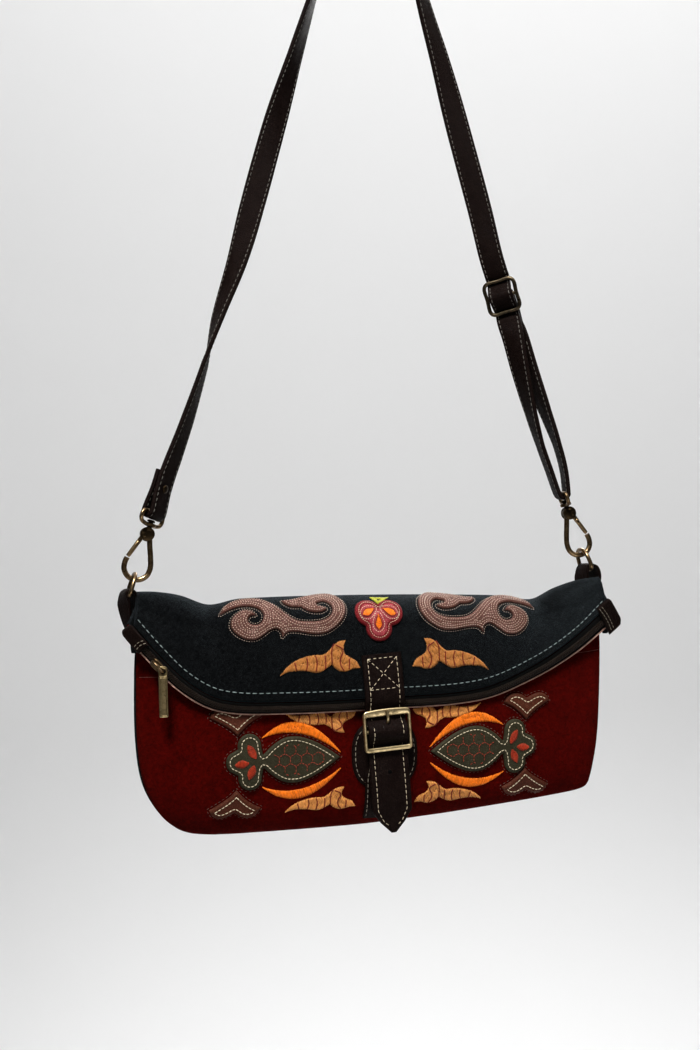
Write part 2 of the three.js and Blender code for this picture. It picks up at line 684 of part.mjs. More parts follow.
function flowerOutline() {
  return steps(FLOWER.points)
    .slice(1)
    .map((share) => {
      const turn = 2 * Math.PI * share;
      const way = new THREE.Vector2(Math.sin(turn), Math.cos(turn));
      const reaches = FLOWER.lobes.map((lobe) => {
        const centre = new THREE.Vector2(lobe.x - FLOWER.x, FLOWER.down - lobe.down);
        const off = centre.cross(way);
        return centre.dot(way) + Math.sqrt(lobe.r ** 2 - off ** 2);
      });
      const reach = Math.max(...reaches);
      return { x: FLOWER.x + reach * way.x, y: -FLOWER.down + reach * way.y };
    });
}

function pomegranateOutline() {
  const arc = (centre, from, to, count) =>
    steps(count).map((share) => {
      const turn = THREE.MathUtils.degToRad(lerp(from, to, share));
      return { x: centre.x + centre.r * Math.cos(turn), y: centre.y + centre.r * Math.sin(turn) };
    });
  const upper = [
    ...POMEGRANATE.body.map(([x, half]) => ({ x, y: half })),
    ...arc(POMEGRANATE.side_lobe, 185, -15, 8),
    ...arc(POMEGRANATE.end_lobe, 52, 10, 3),
  ];
  const lower = upper
    .slice(1)
    .reverse()
    .map((p) => ({ x: p.x, y: -p.y }));
  return [...upper, ...lower].map((p) => ({ x: p.x, y: p.y + POMEGRANATE.z }));
}

function cornerLeafOutline(leaf) {
  return CORNER_LEAF.outline.map(([across, up]) => ({ x: leaf.x + across, y: leaf.z + up * leaf.up }));
}

// The leather tab folded over each end of the zip.
function zipTab(tab) {
  const frame = zipFrame(tab.end);
  const front = Math.max(...ZIP_PROFILE.map((p) => p.lift)) + FIT + ZIP_TAB.thickness / 2;
  const tip = ZIP.overhang + FIT + ZIP_TAB.thickness / 2;
  const route = [
    [front, -tab.cover],
    [front, -tab.cover / 2],
    [front, 0],
    [front, ZIP.overhang],
    [front / 2, tip + ZIP_TAB.wrap],
    [-ZIP.tape, tip + ZIP_TAB.wrap],
  ];
  const points = route.map(([lift, reach]) => frame.place(0.5, lift, tab.out * reach));
  const across = frame.across.clone().multiplyScalar(tab.out);
  return foldedStrip(points, across, tab.width, ZIP_TAB.thickness, 14);
}

// The slider: a plate over the teeth with an arched crown. The pull hangs from the crown's lower end.
const sliderFrame = zipFrame(SLIDER.share);
const crownRun = vec(Math.SQRT1_2, 0, -Math.SQRT1_2);
const crownCentre = sliderFrame.place(0.5, SLIDER.clear + SLIDER.thickness).add(vec(0, -CROWN.lift, 0));
const pullHole = crownCentre.clone().addScaledVector(crownRun, CROWN.radius);

function zipSlider() {
  const plate = block(SLIDER.width, SLIDER.thickness, SLIDER.length);
  const basis = new THREE.Matrix4().makeBasis(sliderFrame.across, sliderFrame.facing, sliderFrame.along);
  if (basis.determinant() < 0) {
    basis.makeBasis(sliderFrame.across.clone().negate(), sliderFrame.facing, sliderFrame.along);
  }
  basis.setPosition(sliderFrame.place(0.5, SLIDER.clear + SLIDER.thickness / 2));
  plate.applyMatrix4(basis);
  const crown = [];
  const foot = (side) =>
    sliderFrame.place(0.5, SLIDER.clear + SLIDER.thickness / 2, side * (CROWN.radius - 0.6));
  const leg = (side) => crownCentre.clone().addScaledVector(crownRun, side * CROWN.radius).add(vec(0, 1.6, 0));
  crown.push(foot(1), leg(1));
  for (const share of steps(8)) {
    const turn = Math.PI * share;
    crown.push(
      crownCentre
        .clone()
        .addScaledVector(crownRun, CROWN.radius * Math.cos(turn))
        .add(vec(0, -CROWN.radius * Math.sin(turn), 0)),
    );
  }
  crown.push(leg(-1), foot(-1));
  return joined(plate, bar(crown, CROWN.bar, 14));
}

function zipPull() {
  const low = PULL.above_hole - PULL.length;
  const shape = new THREE.Shape();
  const half = PULL.width / 2;
  shape.moveTo(-half, low);
  shape.lineTo(half, low);
  shape.lineTo(half, PULL.above_hole - 1.5);
  shape.quadraticCurveTo(half, PULL.above_hole, half - 1.5, PULL.above_hole);
  shape.lineTo(1.5 - half, PULL.above_hole);
  shape.quadraticCurveTo(-half, PULL.above_hole, -half, PULL.above_hole - 1.5);
  shape.closePath();
  const plate = new THREE.ExtrudeGeometry(shape, {
    depth: PULL.thickness,
    bevelEnabled: false,
    curveSegments: 3,
  });
  plate.rotateX(Math.PI / 2).translate(0, PULL.thickness / 2, 0);
  const panel = block(PULL.width - 2 * PULL_PANEL.rim, 2 * PULL_PANEL.depth, PULL_PANEL.length);
  const groove = moved(panel, 0, -PULL.thickness / 2, low + PULL_PANEL.rim + PULL_PANEL.length / 2);
  const hole = block(PULL.hole, PULL.thickness * 3, PULL.hole);
  return cut(plate, groove, hole).translate(pullHole.x, pullHole.y, pullHole.z);
}

// D-rings and the leather tabs that hold them to the ends of the fold.
function leanOf(side) {
  const lean = THREE.MathUtils.degToRad(side.lean);
  return vec(Math.sin(lean), 0, Math.cos(lean));
}

function dRing(side) {
  const up = leanOf(side);
  const half = RING.width / 2;
  const outline = [
    [-half + 2, 0], [0, 0], [half - 2, 0], [half, 1.6], [half, 5], [half * 0.82, RING.height * 0.75],
    [half * 0.42, RING.height * 0.96], [0, RING.height], [-half * 0.42, RING.height * 0.96],
    [-half * 0.82, RING.height * 0.75], [-half, 5], [-half, 1.6],
  ];
  const points = outline.map(([y, h]) => vec(side.x, RING.y + y, side.z).addScaledVector(up, h));
  return ring(points, RING.wire, 22);
}

function ringTab(side) {
  const wrap = RING.wire / 2 + FIT + RING_TAB.thickness / 2 + 0.3;
  const round = (degrees) => {
    const turn = THREE.MathUtils.degToRad(degrees);
    return [side.x + wrap * Math.cos(turn), side.z + wrap * Math.sin(turn)];
  };
  const routes = {
    left: [
      [-144.9, -13], [-144.6, -5], round(0), round(50), round(100), round(150), round(190),
      [-149.2, -4], [-147.3, -13],
    ],
    right: [
      [136.2, 6.4], [136.6, 9], round(170), round(130), round(90), round(55),
      [144.6, 12.6], [146.9, 9.2], [147.4, 2], [147, -9],
    ],
  };
  const points = routes[side.name].map(([x, z]) => vec(x, RING.y, z));
  return foldedStrip(points, vec(0, 1, 0), RING_TAB.width, RING_TAB.thickness, 26);
}

// Snap hooks, built upright about the lowest point of the bow. g is the side of the gate.
function hookBow(g) {
  const path = [
    [-1.6, 27], [-3.4, 21.5], [-6, 14.5], [-7.5, 9], [-6.9, 4.2], [-3.9, 0.95], [0, 0], [3.9, 0.95], [6.9, 4.2],
    [7.6, 8], [7.2, 11.2],
  ];
  const bow = bar(path.map(([a, h]) => vec(a * g, 0, h)), HOOK.wire, 18);
  const head = moved(disc(HOOK.head, HOOK.head_depth), 0, 0, HOOK.head_up);
  const post = moved(disc(HOOK.post, 6, 10).rotateX(Math.PI / 2), 0, 0, EYE.up - 0.2);
  const postHead = moved(disc(HOOK.post + 2, 1.4, 10).rotateX(Math.PI / 2), 0, 0, EYE.up + 2.3);
  const slot = moved(block(6.6, GATE.tongue + 2 * FIT, 10), g * 2.6, 0, HOOK.head_up - 1.5);
  const pin = moved(disc(GATE.pin, HOOK.head_depth - 0.4, 8), g * GATE.pivot_in, 0, GATE.pivot_up);
  return joined(cut(joined(bow, head, post, postHead), slot), pin);
}

function hookGate(g) {
  const pivot = vec(g * GATE.pivot_in, 0, GATE.pivot_up);
  const tip = vec(g * 7, 0, 12.4);
  const direction = tip.clone().sub(pivot).normalize();
  const shoulder = pivot.clone().addScaledVector(direction, 5.2);
  const arm = bar([shoulder, tip], GATE.wire, 1);
  const root = moved(disc(GATE.root, GATE.tongue, 12), pivot.x, 0, pivot.z);
  const tongue = block(2.6, GATE.tongue, 6.4);
  tongue.rotateY(Math.atan2(-direction.x, -direction.z));
  const middle = pivot.clone().addScaledVector(direction, 3.2);
  tongue.translate(middle.x, 0, middle.z);
  const hole = moved(disc(GATE.pin + 2 * FIT, GATE.tongue * 3, 10), pivot.x, 0, pivot.z);
  return cut(joined(arm, root, tongue), hole);
}

function hookEye() {
  const low = EYE.up;
  const up = EYE.bar_up;
  const outline = [
    [-5, low], [0, low], [5, low], [9.6, low + 1.3], [10.8, low + 4], [10, up - 0.7],
    [8, up], [0, up], [-8, up], [-10, up - 0.7], [-10.8, low + 4], [-9.6, low + 1.3],
  ];
  const loop = ring(outline.map(([a, h]) => vec(a, 0, h)), EYE.wire, 22);
  const boss = moved(disc(EYE.boss, 2).rotateX(Math.PI / 2), 0, 0, low);
  const hole = moved(disc(HOOK.post + 2 * FIT, 8).rotateX(Math.PI / 2), 0, 0, low);
  return cut(joined(loop, boss), hole);
}

// Where a hook sits: its bow hangs inside the top of the ring.
function hookPlace(side) {
  const grip = RING.height - RING.wire / 2 - HOOK.wire / 2 - FIT;
  const at = vec(side.x, RING.y, side.z).addScaledVector(leanOf(side), grip);
  const turn = new THREE.Matrix4().makeRotationY(THREE.MathUtils.degToRad(side.lean));
  return turn.setPosition(at);
}

function eyePlace(side) {
  return hookPlace(side).multiply(new THREE.Matrix4().makeRotationZ(THREE.MathUtils.degToRad(side.eye_turn)));
}

// The shoulder strap as one long strip: a folded end round the left hook's eye, over the top, down through
// the slide, round the right hook's eye and back up to the slide's middle bar.
const acrossOf = (degrees) => {
  const turn = THREE.MathUtils.degToRad(degrees);
  return vec(Math.cos(turn), Math.sin(turn), 0);
};

function eyeWrap(side, angles, tail) {
  const place = eyePlace(side);
  const across = vec(1, 0, 0).transformDirection(place);
  const wrap = EYE.wire / 2 + FIT + STRAP.thickness / 2 + 0.1;
  const station = (y, up) => ({ at: vec(0, y, EYE.bar_up + up).applyMatrix4(place), across });
  const turns = angles.map((degrees) => {
    const turn = THREE.MathUtils.degToRad(degrees);
    return station(wrap * Math.cos(turn), wrap * Math.sin(turn));
  });
  return { turns, limb: tail.map(({ y, up }) => station(y, up)) };
}

function slideAxes() {
  const down = vec(RIGHT_STRAND.at(-1).x, 0, RIGHT_STRAND.at(-1).z)
    .sub(vec(LOOP[0].x, 0, LOOP[0].z))
    .normalize()
    .negate();
  const across = acrossOf(SLIDE.turn);
  across.addScaledVector(down, -down.dot(across)).normalize();
  const out = down.clone().cross(across);
  const place = (wide, along, lift) =>
    vec(SLIDE.x, RING.y, SLIDE.z)
      .addScaledVector(across, wide)
      .addScaledVector(down, along)
      .addScaledVector(out, lift);
  return { across, down, out, place };
}

function strapStations() {
  const [left, right] = HOOK_SIDES;
  const half = (STRAP.thickness + 2 * FIT) / 2;
  const leftEnd = eyeWrap(left, [180, 215, 250, 290, 325, 360], [
    { y: -half, up: STRAP_END.tail },
    { y: -half, up: STRAP_END.rivet_up },
    { y: -half - 0.2, up: STRAP_END.gather },
  ]);
  const leftLimb = eyeWrap(left, [], [
    { y: half + 0.2, up: STRAP_END.gather },
    { y: half, up: STRAP_END.rivet_up },
    { y: half, up: STRAP_END.tail },
  ]);
  const strand = (rows) => rows.map((row) => ({ at: vec(row.x, RING.y, row.z), across: acrossOf(row.turn) }));
  const top = steps(STRAP_TOP.rows - 1).map((share) => {
    const turn = THREE.MathUtils.degToRad(lerp(STRAP_TOP.from, STRAP_TOP.to, share));
    const radius = STRAP_TOP.radius + STRAP.thickness / 2;
    return {
      at: vec(HANG.x + radius * Math.cos(turn), RING.y, HANG.z - STRAP_TOP.radius + radius * Math.sin(turn)),
      across: acrossOf(90),
    };
  });
  const slide = slideAxes();
  const weave = WEAVE.map((row) => ({ at: slide.place(0, row.down, row.out), across: slide.across }));
  const layer = (rows, column) =>
    rows.map((row) => {
      const across = acrossOf(row.turn);
      const out = vec(across.y, -across.x, 0);
      return { at: vec(row.x, RING.y, row.z).addScaledVector(out, row[column]), across };
    });
  const rightWrap = eyeWrap(right, [180, 215, 250, 290, 325, 360], []);
  const wrapBack = RETURN_WRAP.map((row) => ({
    at: slide.place(0, row.down, row.out),
    across: slide.across,
    thickness: row.thickness,
  }));
  return [
    ...leftEnd.limb,
    ...leftEnd.turns,
    ...leftLimb.limb,
    ...strand(LEFT_STRAND),
    ...top,
    ...strand(RIGHT_STRAND),
    ...weave,
    ...layer(LOOP, "front"),
    ...rightWrap.turns,
    ...layer([...LOOP].reverse(), "back"),
    ...wrapBack,
  ];
}

// Stations between the given ones, on a smooth curve.
function smoothed(stations, perSpan) {
  const curve = new THREE.CatmullRomCurve3(stations.map((s) => s.at), false, "centripetal");
  const spans = stations.length - 1;
  const result = [];
  for (let i = 0; i < spans; i++) {
    for (let k = 0; k < perSpan; k++) {
      const share = k / perSpan;
      const [from, to] = [stations[i], stations[i + 1]];
      result.push({
        at: curve.getPoint((i + share) / spans),
        across: from.across.clone().lerp(to.across, share).normalize(),
        thickness: lerp(from.thickness ?? STRAP.thickness, to.thickness ?? STRAP.thickness, share),
        width: from.width === undefined ? undefined : lerp(from.width, to.width, share),
      });
    }
  }
  result.push({ ...stations[spans], at: stations[spans].at.clone() });
  return result;
}

function shoulderStrap() {
  const place = eyePlace(HOOK_SIDES[0]);
  const hole = disc(STRAP_END.rivet + 2 * FIT, 14, 10);
  hole.translate(0, 0, EYE.bar_up + STRAP_END.rivet_up).applyMatrix4(place);
  return cut(ribbon(smoothed(strapStations(), 1), STRAP.width, STRAP.thickness), hole);
}

function strapRivet() {
  const reach = STRAP.thickness + 2 * FIT;
  const pin = disc(STRAP_END.rivet, 2 * reach, 10);
  const heads = [-1, 1].map((s) => moved(disc(STRAP_END.rivet_head, 1, 14), 0, s * (reach + 0.4), 0));
  return joined(pin, ...heads)
    .translate(0, 0, EYE.bar_up + STRAP_END.rivet_up)
    .applyMatrix4(eyePlace(HOOK_SIDES[0]));
}

function strapSlide() {
  const { place } = slideAxes();
  const w = SLIDE.half_width;
  const h = SLIDE.half_height;
  const outline = [
    [-w, 2 - h], [2 - w, -h], [0, -h], [w - 2, -h], [w, 2 - h], [w, 0],
    [w, h - 2], [w - 2, h], [0, h], [2 - w, h], [-w, h - 2], [-w, 0],
  ];
  const frame = ring(outline.map(([a, b]) => place(a, b, 0)), SLIDE.wire, 28);
  return joined(frame, bar([place(-w, 0, 0), place(w, 0, 0)], SLIDE.wire, 1));
}

// The buckle and its strap, in their own tilted group. Heights are still counted from the fold.
const buckleGroup = new THREE.Group();
function buckleStrap() {
  const stations = BUCKLE_STRAP_ROWS.map((row) => ({
    at: vec(0, row.y, row.z),
    across: vec(-1, 0, 0),
    width: row.width,
    thickness: BUCKLE_STRAP.thickness,
  }));
  const strip = ribbon(stations, stations[0].width, BUCKLE_STRAP.thickness);
  const hole = moved(disc(BUCKLE_STRAP.hole, 20, 12), 0, -23, BUCKLE_STRAP.hole_z);
  const slotHeight = BUCKLE_STRAP.slot_top - BUCKLE_STRAP.slot_foot;
  const slot = moved(block(BUCKLE_STRAP.slot, 12, slotHeight), 0, -25, BUCKLE_STRAP.slot_foot + slotHeight / 2);
  return cut(strip, hole, slot);
}

function buckleFrame() {
  const half = BUCKLE_FRAME.width / 2;
  const outer = new THREE.Shape();
  const corner = BUCKLE_CORNER;
  outer.moveTo(-half + 1, BUCKLE_FRAME.foot);
  outer.lineTo(half - 1, BUCKLE_FRAME.foot);
  outer.quadraticCurveTo(half, BUCKLE_FRAME.foot, half, BUCKLE_FRAME.foot + 1);
  outer.lineTo(half, BUCKLE_FRAME.top - corner);
  outer.quadraticCurveTo(half, BUCKLE_FRAME.top, half - corner, BUCKLE_FRAME.top);
  outer.quadraticCurveTo(0, BUCKLE_FRAME.top + BUCKLE_FRAME.arch, corner - half, BUCKLE_FRAME.top);
  outer.quadraticCurveTo(-half, BUCKLE_FRAME.top, -half, BUCKLE_FRAME.top - corner);
  outer.lineTo(-half, BUCKLE_FRAME.foot + 1);
  outer.quadraticCurveTo(-half, BUCKLE_FRAME.foot, -half + 1, BUCKLE_FRAME.foot);
  const inside = half - BUCKLE_FRAME.side;
  const window = new THREE.Path();
  window.moveTo(-inside, BUCKLE_FRAME.foot + BUCKLE_FRAME.foot_bar);
  window.lineTo(-inside, BUCKLE_FRAME.top - BUCKLE_FRAME.top_bar);
  window.lineTo(inside, BUCKLE_FRAME.top - BUCKLE_FRAME.top_bar);
  window.lineTo(inside, BUCKLE_FRAME.foot + BUCKLE_FRAME.foot_bar);
  window.closePath();
  outer.holes.push(window);
  const frame = new THREE.ExtrudeGeometry(outer, {
    depth: BUCKLE_PLANE.thickness - 0.8,
    bevelSize: 0.4,
    bevelOffset: -0.4,
    bevelThickness: 0.4,
    bevelSegments: 1,
    curveSegments: 5,
  });
  frame.rotateX(Math.PI / 2).translate(0, BUCKLE_PLANE.thickness / 2 - 0.4, -BUCKLE_PLANE.bar_z);
  frame.rotateX(THREE.MathUtils.degToRad(BUCKLE_PLANE.lean)).translate(0, BUCKLE_PLANE.y, BUCKLE_PLANE.bar_z);
  const reach = half - BUCKLE_FRAME.side / 2;
  const centre = bar(
    [vec(-reach, BUCKLE_PLANE.bar_y, BUCKLE_PLANE.bar_z), vec(reach, BUCKLE_PLANE.bar_y, BUCKLE_PLANE.bar_z)],
    BUCKLE_PLANE.bar,
    1,
  );
  const lug = block(BUCKLE_FRAME.side - 0.2, 3.4, 3);
  const lugs = [-1, 1].map((s) => moved(lug, s * reach, BUCKLE_PLANE.bar_y - 0.6, BUCKLE_PLANE.bar_z));
  return joined(frame, centre, ...lugs);
}

function buckleProng() {
  const root = moved(
    disc(PRONG.root, PRONG.root_width, 14).rotateZ(Math.PI / 2),
    0,
    BUCKLE_PLANE.bar_y,
    BUCKLE_PLANE.bar_z,
  );
  const topBarUp = BUCKLE_FRAME.top - BUCKLE_FRAME.top_bar / 2 - BUCKLE_PLANE.bar_z;
  const topBarY = BUCKLE_PLANE.y - topBarUp * Math.sin(THREE.MathUtils.degToRad(BUCKLE_PLANE.lean));
  const front = topBarY - BUCKLE_PLANE.thickness / 2 - 2 * FIT - PRONG.wire / 2;
  const arm = bar(
    [
      vec(0, BUCKLE_PLANE.bar_y - 1.2, BUCKLE_PLANE.bar_z + 1.8),
      vec(0, BUCKLE_PLANE.bar_y - 2.2, -75.6),
      vec(0, front, -72.2),
      vec(0, front - 0.1, -69.6),
      vec(0, front - 0.1, BUCKLE_FRAME.top - 0.4),
    ],
    PRONG.wire,
    10,
  );
  const hole = moved(
    disc(PRONG.root_hole, 12, 12).rotateZ(Math.PI / 2),
    0,
    BUCKLE_PLANE.bar_y,
    BUCKLE_PLANE.bar_z,
  );
  return cut(joined(root, arm), hole);
}

// The leather behind the buckle: a rounded patch sewn to the front, and a strip from the bottom seam that is
// folded round the buckle's bar.
function patchOutline() {
  return steps(PATCH.points)
    .slice(1)
    .map((share) => {
      const turn = 2 * Math.PI * share;
      const round = (value) => Math.sign(value) * Math.abs(value) ** (2 / PATCH.squareness);
      return {
        x: PATCH.x + PATCH.half_width * round(Math.cos(turn)),
        y: PATCH.z + PATCH.half_height * round(Math.sin(turn)),
      };
    });
}

function buckleChape() {
  const above = FIT + LEATHER + FIT + CHAPE.thickness / 2;
  const rows = [CHAPE.foot_z, -127, -121, -112, -103, -94, -87];
  const points = rows.map((z) => vec(0, onFront(BUCKLE.x, z, above).y, z));
  const wrap = BUCKLE_PLANE.bar / 2 + FIT + CHAPE.thickness / 2 + 0.1;
  for (const degrees of [-20, 20, 60, 100, 140, 180]) {
    const turn = THREE.MathUtils.degToRad(degrees);
    points.push(vec(0, BUCKLE_PLANE.bar_y + wrap * Math.cos(turn), BUCKLE_PLANE.bar_z + wrap * Math.sin(turn)));
  }
  points.push(vec(0, BUCKLE_PLANE.bar_y + 0.6, -83.6));
  const strip = ribbon(
    smoothed(points.map((at) => ({ at, across: vec(1, 0, 0), thickness: CHAPE.thickness })), 1),
    CHAPE.width,
    CHAPE.thickness,
  );
  const slot = moved(block(CHAPE.slot, 12, 7), 0, BUCKLE_PLANE.bar_y, BUCKLE_PLANE.bar_z + 0.6);
  return cut(strip, slot);
}

// The assembly. Colours, roughness and metalness are those of the photographed bag.
const LOOKS = {
  felt_red: { color: 0x551018, roughness: 0.95, metalness: 0 },
  felt_teal: { color: 0x1d2426, roughness: 0.95, metalness: 0 },
  leather_dark: { color: 0x231a17, roughness: 0.5, metalness: 0 },
  leather_mauve: { color: 0x6b4a44, roughness: 0.6, metalness: 0 },
  leather_rose: { color: 0x9a3a3f, roughness: 0.6, metalness: 0 },
  leather_olive: { color: 0x3e4237, roughness: 0.6, metalness: 0 },
  leather_brown: { color: 0x4a2e23, roughness: 0.6, metalness: 0 },
  zip_brown: { color: 0x2a2320, roughness: 0.7, metalness: 0 },
  brass: { color: 0x9c8555, roughness: 0.35, metalness: 1 },
};
const part = new THREE.Group();
part.name = "belt_bag";
const bag = new THREE.Group();
bag.position.set(-HANG.x, -RING.y, -HANG.z);
part.add(bag);

function add(group, name, look, geometry) {
  const mesh = new THREE.Mesh(geometry, new THREE.MeshStandardMaterial({ name: look, ...LOOKS[look] }));
  mesh.name = name;
  group.add(mesh);
  return mesh;
}

add(bag, "front_panel", "felt_red", frontPanel);
add(bag, "front_upper_strip", "felt_red", upperStrip);
add(bag, "back_panel", "felt_teal", backPanel);
add(bag, "zip_tape", "zip_brown", zipBand());
for (const tab of ZIP_TABS) {
  add(bag, `zip_end_${tab.name}`, "leather_dark", zipTab(tab));
}
add(bag, "zip_slider", "brass", zipSlider());
add(bag, "zip_pull", "brass", zipPull());
for (const side of HOOK_SIDES) {
  add(bag, `ring_${side.name}`, "brass", dRing(side));
  add(bag, `ring_tab_${side.name}`, "leather_dark", ringTab(side));
  const hook = new THREE.Group();
  hook.applyMatrix4(hookPlace(side));
  bag.add(hook);
  add(hook, `hook_${side.name}`, "brass", hookBow(side.gate));
  add(hook, `hook_gate_${side.name}`, "brass", hookGate(side.gate));
  const eye = add(hook, `hook_eye_${side.name}`, "brass", hookEye());
  eye.rotation.z = THREE.MathUtils.degToRad(side.eye_turn);
}
add(bag, "strap", "leather_dark", shoulderStrap());
add(bag, "strap_rivet", "brass", strapRivet());
add(bag, "strap_slide", "brass", strapSlide());

buckleGroup.rotation.y = THREE.MathUtils.degToRad(BUCKLE.tilt);
const swung = vec(0, 0, BUCKLE.pivot_z).applyEuler(buckleGroup.rotation);
buckleGroup.position.set(BUCKLE.x - swung.x, 0, BUCKLE.pivot_z - swung.z);
bag.add(buckleGroup);
add(buckleGroup, "buckle_strap", "leather_dark", buckleStrap());
add(buckleGroup, "buckle_frame", "brass", buckleFrame());
add(buckleGroup, "buckle_prong", "brass", buckleProng());
add(buckleGroup, "buckle_chape", "leather_dark", buckleChape());
const applied = (outline, place, grid) => drape(outline, place, grid, FIT, LEATHER);
const ontoFlap = (x, y, lift) => onFlap(x, -y, lift + FLAP_EASE);
add(bag, "buckle_patch", "leather_dark", applied(patchOutline(), onFront, PATCH_GRID));
for (const side of [{ name: "left", sign: 1 }, { name: "right", sign: -1 }]) {
  const scroll = mirrored(scrollOutline, side.sign);
  add(bag, `scroll_${side.name}`, "leather_mauve", applied(scroll, ontoFlap, FLAP_GRID));
  const fruit = mirrored(pomegranateOutline(), -side.sign);
  add(bag, `pomegranate_${side.name}`, "leather_olive", applied(fruit, onFront, FRONT_GRID));
}
add(bag, "flower", "leather_rose", applied(flowerOutline(), ontoFlap, FLAP_GRID));
for (const leaf of CORNER_LEAF.places) {
  add(bag, `corner_leaf_${leaf.name}`, "leather_brown", applied(cornerLeafOutline(leaf), onFront, LEAF_GRID));
}

export default part;
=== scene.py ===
"""A fold-over felt pouch bag, hanging by its leather shoulder strap.

Sizes are in millimetres from the middle of the folded top, and are turned into the frame's metres when
a piece is made. The pouch lies across X, its front towards -Y.
"""
import math

import bpy
import numpy as np
from mathutils import Matrix, Vector
from mathutils.geometry import delaunay_2d_cdt


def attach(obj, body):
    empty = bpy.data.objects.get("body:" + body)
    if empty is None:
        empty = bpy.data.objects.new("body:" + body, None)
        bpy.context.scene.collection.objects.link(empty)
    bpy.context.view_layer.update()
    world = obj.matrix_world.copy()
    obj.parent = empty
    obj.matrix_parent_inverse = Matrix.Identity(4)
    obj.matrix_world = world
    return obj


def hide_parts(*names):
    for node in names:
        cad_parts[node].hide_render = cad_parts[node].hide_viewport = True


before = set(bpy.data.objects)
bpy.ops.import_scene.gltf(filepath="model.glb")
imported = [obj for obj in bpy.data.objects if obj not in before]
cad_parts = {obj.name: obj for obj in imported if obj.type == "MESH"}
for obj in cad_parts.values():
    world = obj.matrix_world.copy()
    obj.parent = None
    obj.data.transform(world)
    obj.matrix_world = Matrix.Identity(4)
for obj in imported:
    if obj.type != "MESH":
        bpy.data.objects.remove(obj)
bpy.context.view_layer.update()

# The front of the pouch: wine-red wool felt, 2 mm thick, cut as a deep lower panel and a shallow strip that
# are seamed together. The strip runs up to the fold, turns down behind the flap and ends at the zip.
MM = 0.001
HANG_POINT = np.array([13.0, 2.0, 448.4])
FELT = 2.0
FIT = 0.3
SEAM_OFFSET = 1.3
POUCH = {
    "rise": [0, 2, 7, 16, 32, 55, 93, 117],
    "left": [-98, -114, -124.5, -133, -140.5, -143.5, -143.5, -142.5],
    "right": [128, 132.5, 135, 137.3, 140.2, 142.5, 144.5, 145],
    "front": [0, 4.2, 8.2, 11.8, 14.6, 15.6, 15, 13.6],
    "back": [0, 3.5, 7, 10.4, 13.4, 15.2, 15.6, 15.2],
    "side_power": [0.5, 0.5, 0.5, 0.5, 0.5, 0.55, 0.8, 1],
}
POUCH_ROUNDING = 4
FOLD_ROUNDING = 3
FOLD_RISE = 117
BOTTOM_LINE = {"x": [-145, -20, 34, 73, 106, 145], "z": [-136.5, -136.4, -133.6, -130.4, -127.3, -122.8]}
LOWEST = -136.5
FRONT_SEAM_RISE = 93
FRONT_SEAM_GAP = 0.4
FOLD = {"base": -18, "end_base": -2, "end_power": 6, "crease": 4.6, "flap_gap": 2.6}
FLAP_EDGE = {
    "share": [0, 0.045, 0.1, 0.16, 0.28, 0.5, 0.7, 0.82, 0.92, 1],
    "x": [-145.5, -134, -116, -97, -62, 1, 58, 92, 121, 148.5],
    "y": [-11.5, -16, -20.5, -22.8, -24.3, -24.6, -23.8, -21.8, -17.5, -11.5],
    "z": [-13.5, -28, -46.5, -57, -60, -60.2, -58, -46.5, -31, -11.5],
    "drop": [6.5, 6.7, 7, 7, 7, 7, 7.2, 8, 9.5, 10.5],
    "set_back": [3.5, 4.5, 4.7, 4.7, 4.7, 4.7, 4.7, 4.7, 4.5, 3.5],
}
EDGE_TRIM = {"over": 0.9, "under": 4.2}
FELT_EDGE_ROUNDING = 0.7
WINE = (0.07, 0.0022, 0.001)
WINE_FIBRE = (0.17, 0.012, 0.006)
SEAM_EDGE = {"wide": 0.22, "high": 0.3}
SEAM_PINK = (0.2, 0.075, 0.065)
LOOK = (("Color", "Color"), ("Height", "Float"))
GLOSSY_LOOK = (("Color", "Color"), ("Roughness", "Float"), ("Height", "Float"))
TO_FRONT = np.array([0, -1.0, 0])
TO_BACK = np.array([0, 1.0, 0])
TO_LEFT = np.array([-1.0, 0, 0])
TO_RIGHT = np.array([1.0, 0, 0])


def curve_through(table, key, column):
    """A smooth curve through one column of a table, read by another column."""
    at = np.array(table[key], float)
    value = np.array(table[column], float)
    before = np.maximum(np.arange(len(at)) - 1, 0)
    after = np.minimum(np.arange(len(at)) + 1, len(at) - 1)
    slope = (value[after] - value[before]) / (at[after] - at[before])

    def read(where):
        w = np.clip(where, at[0], at[-1])
        i = np.clip(np.searchsorted(at, w) - 1, 0, len(at) - 2)
        span = at[i + 1] - at[i]
        t = (w - at[i]) / span
        start = value[i] * (2 * t**3 - 3 * t**2 + 1) + slope[i] * span * (t**3 - 2 * t**2 + t)
        end = value[i + 1] * (3 * t**2 - 2 * t**3) + slope[i + 1] * span * (t**3 - t**2)
        return start + end

    return read


pouch = {column: curve_through(POUCH, "rise", column) for column in POUCH if column != "rise"}
flap_edge = {column: curve_through(FLAP_EDGE, "share", column) for column in FLAP_EDGE if column != "share"}
bottom_line = curve_through(BOTTOM_LINE, "x", "z")


def mix(low, high, share):
    return low + (high - low) * share


def unit(vectors):
    return vectors / np.maximum(np.linalg.norm(vectors, axis=-1, keepdims=True), 1e-12)


def xyz(x, y, z):
    return np.stack(np.broadcast_arrays(x, y, z), -1).astype(float)


def end_share(u):
    return np.abs(2 * u - 1)


def fold_base(u):
    return mix(FOLD["base"], FOLD["end_base"], end_share(u) ** FOLD["end_power"])


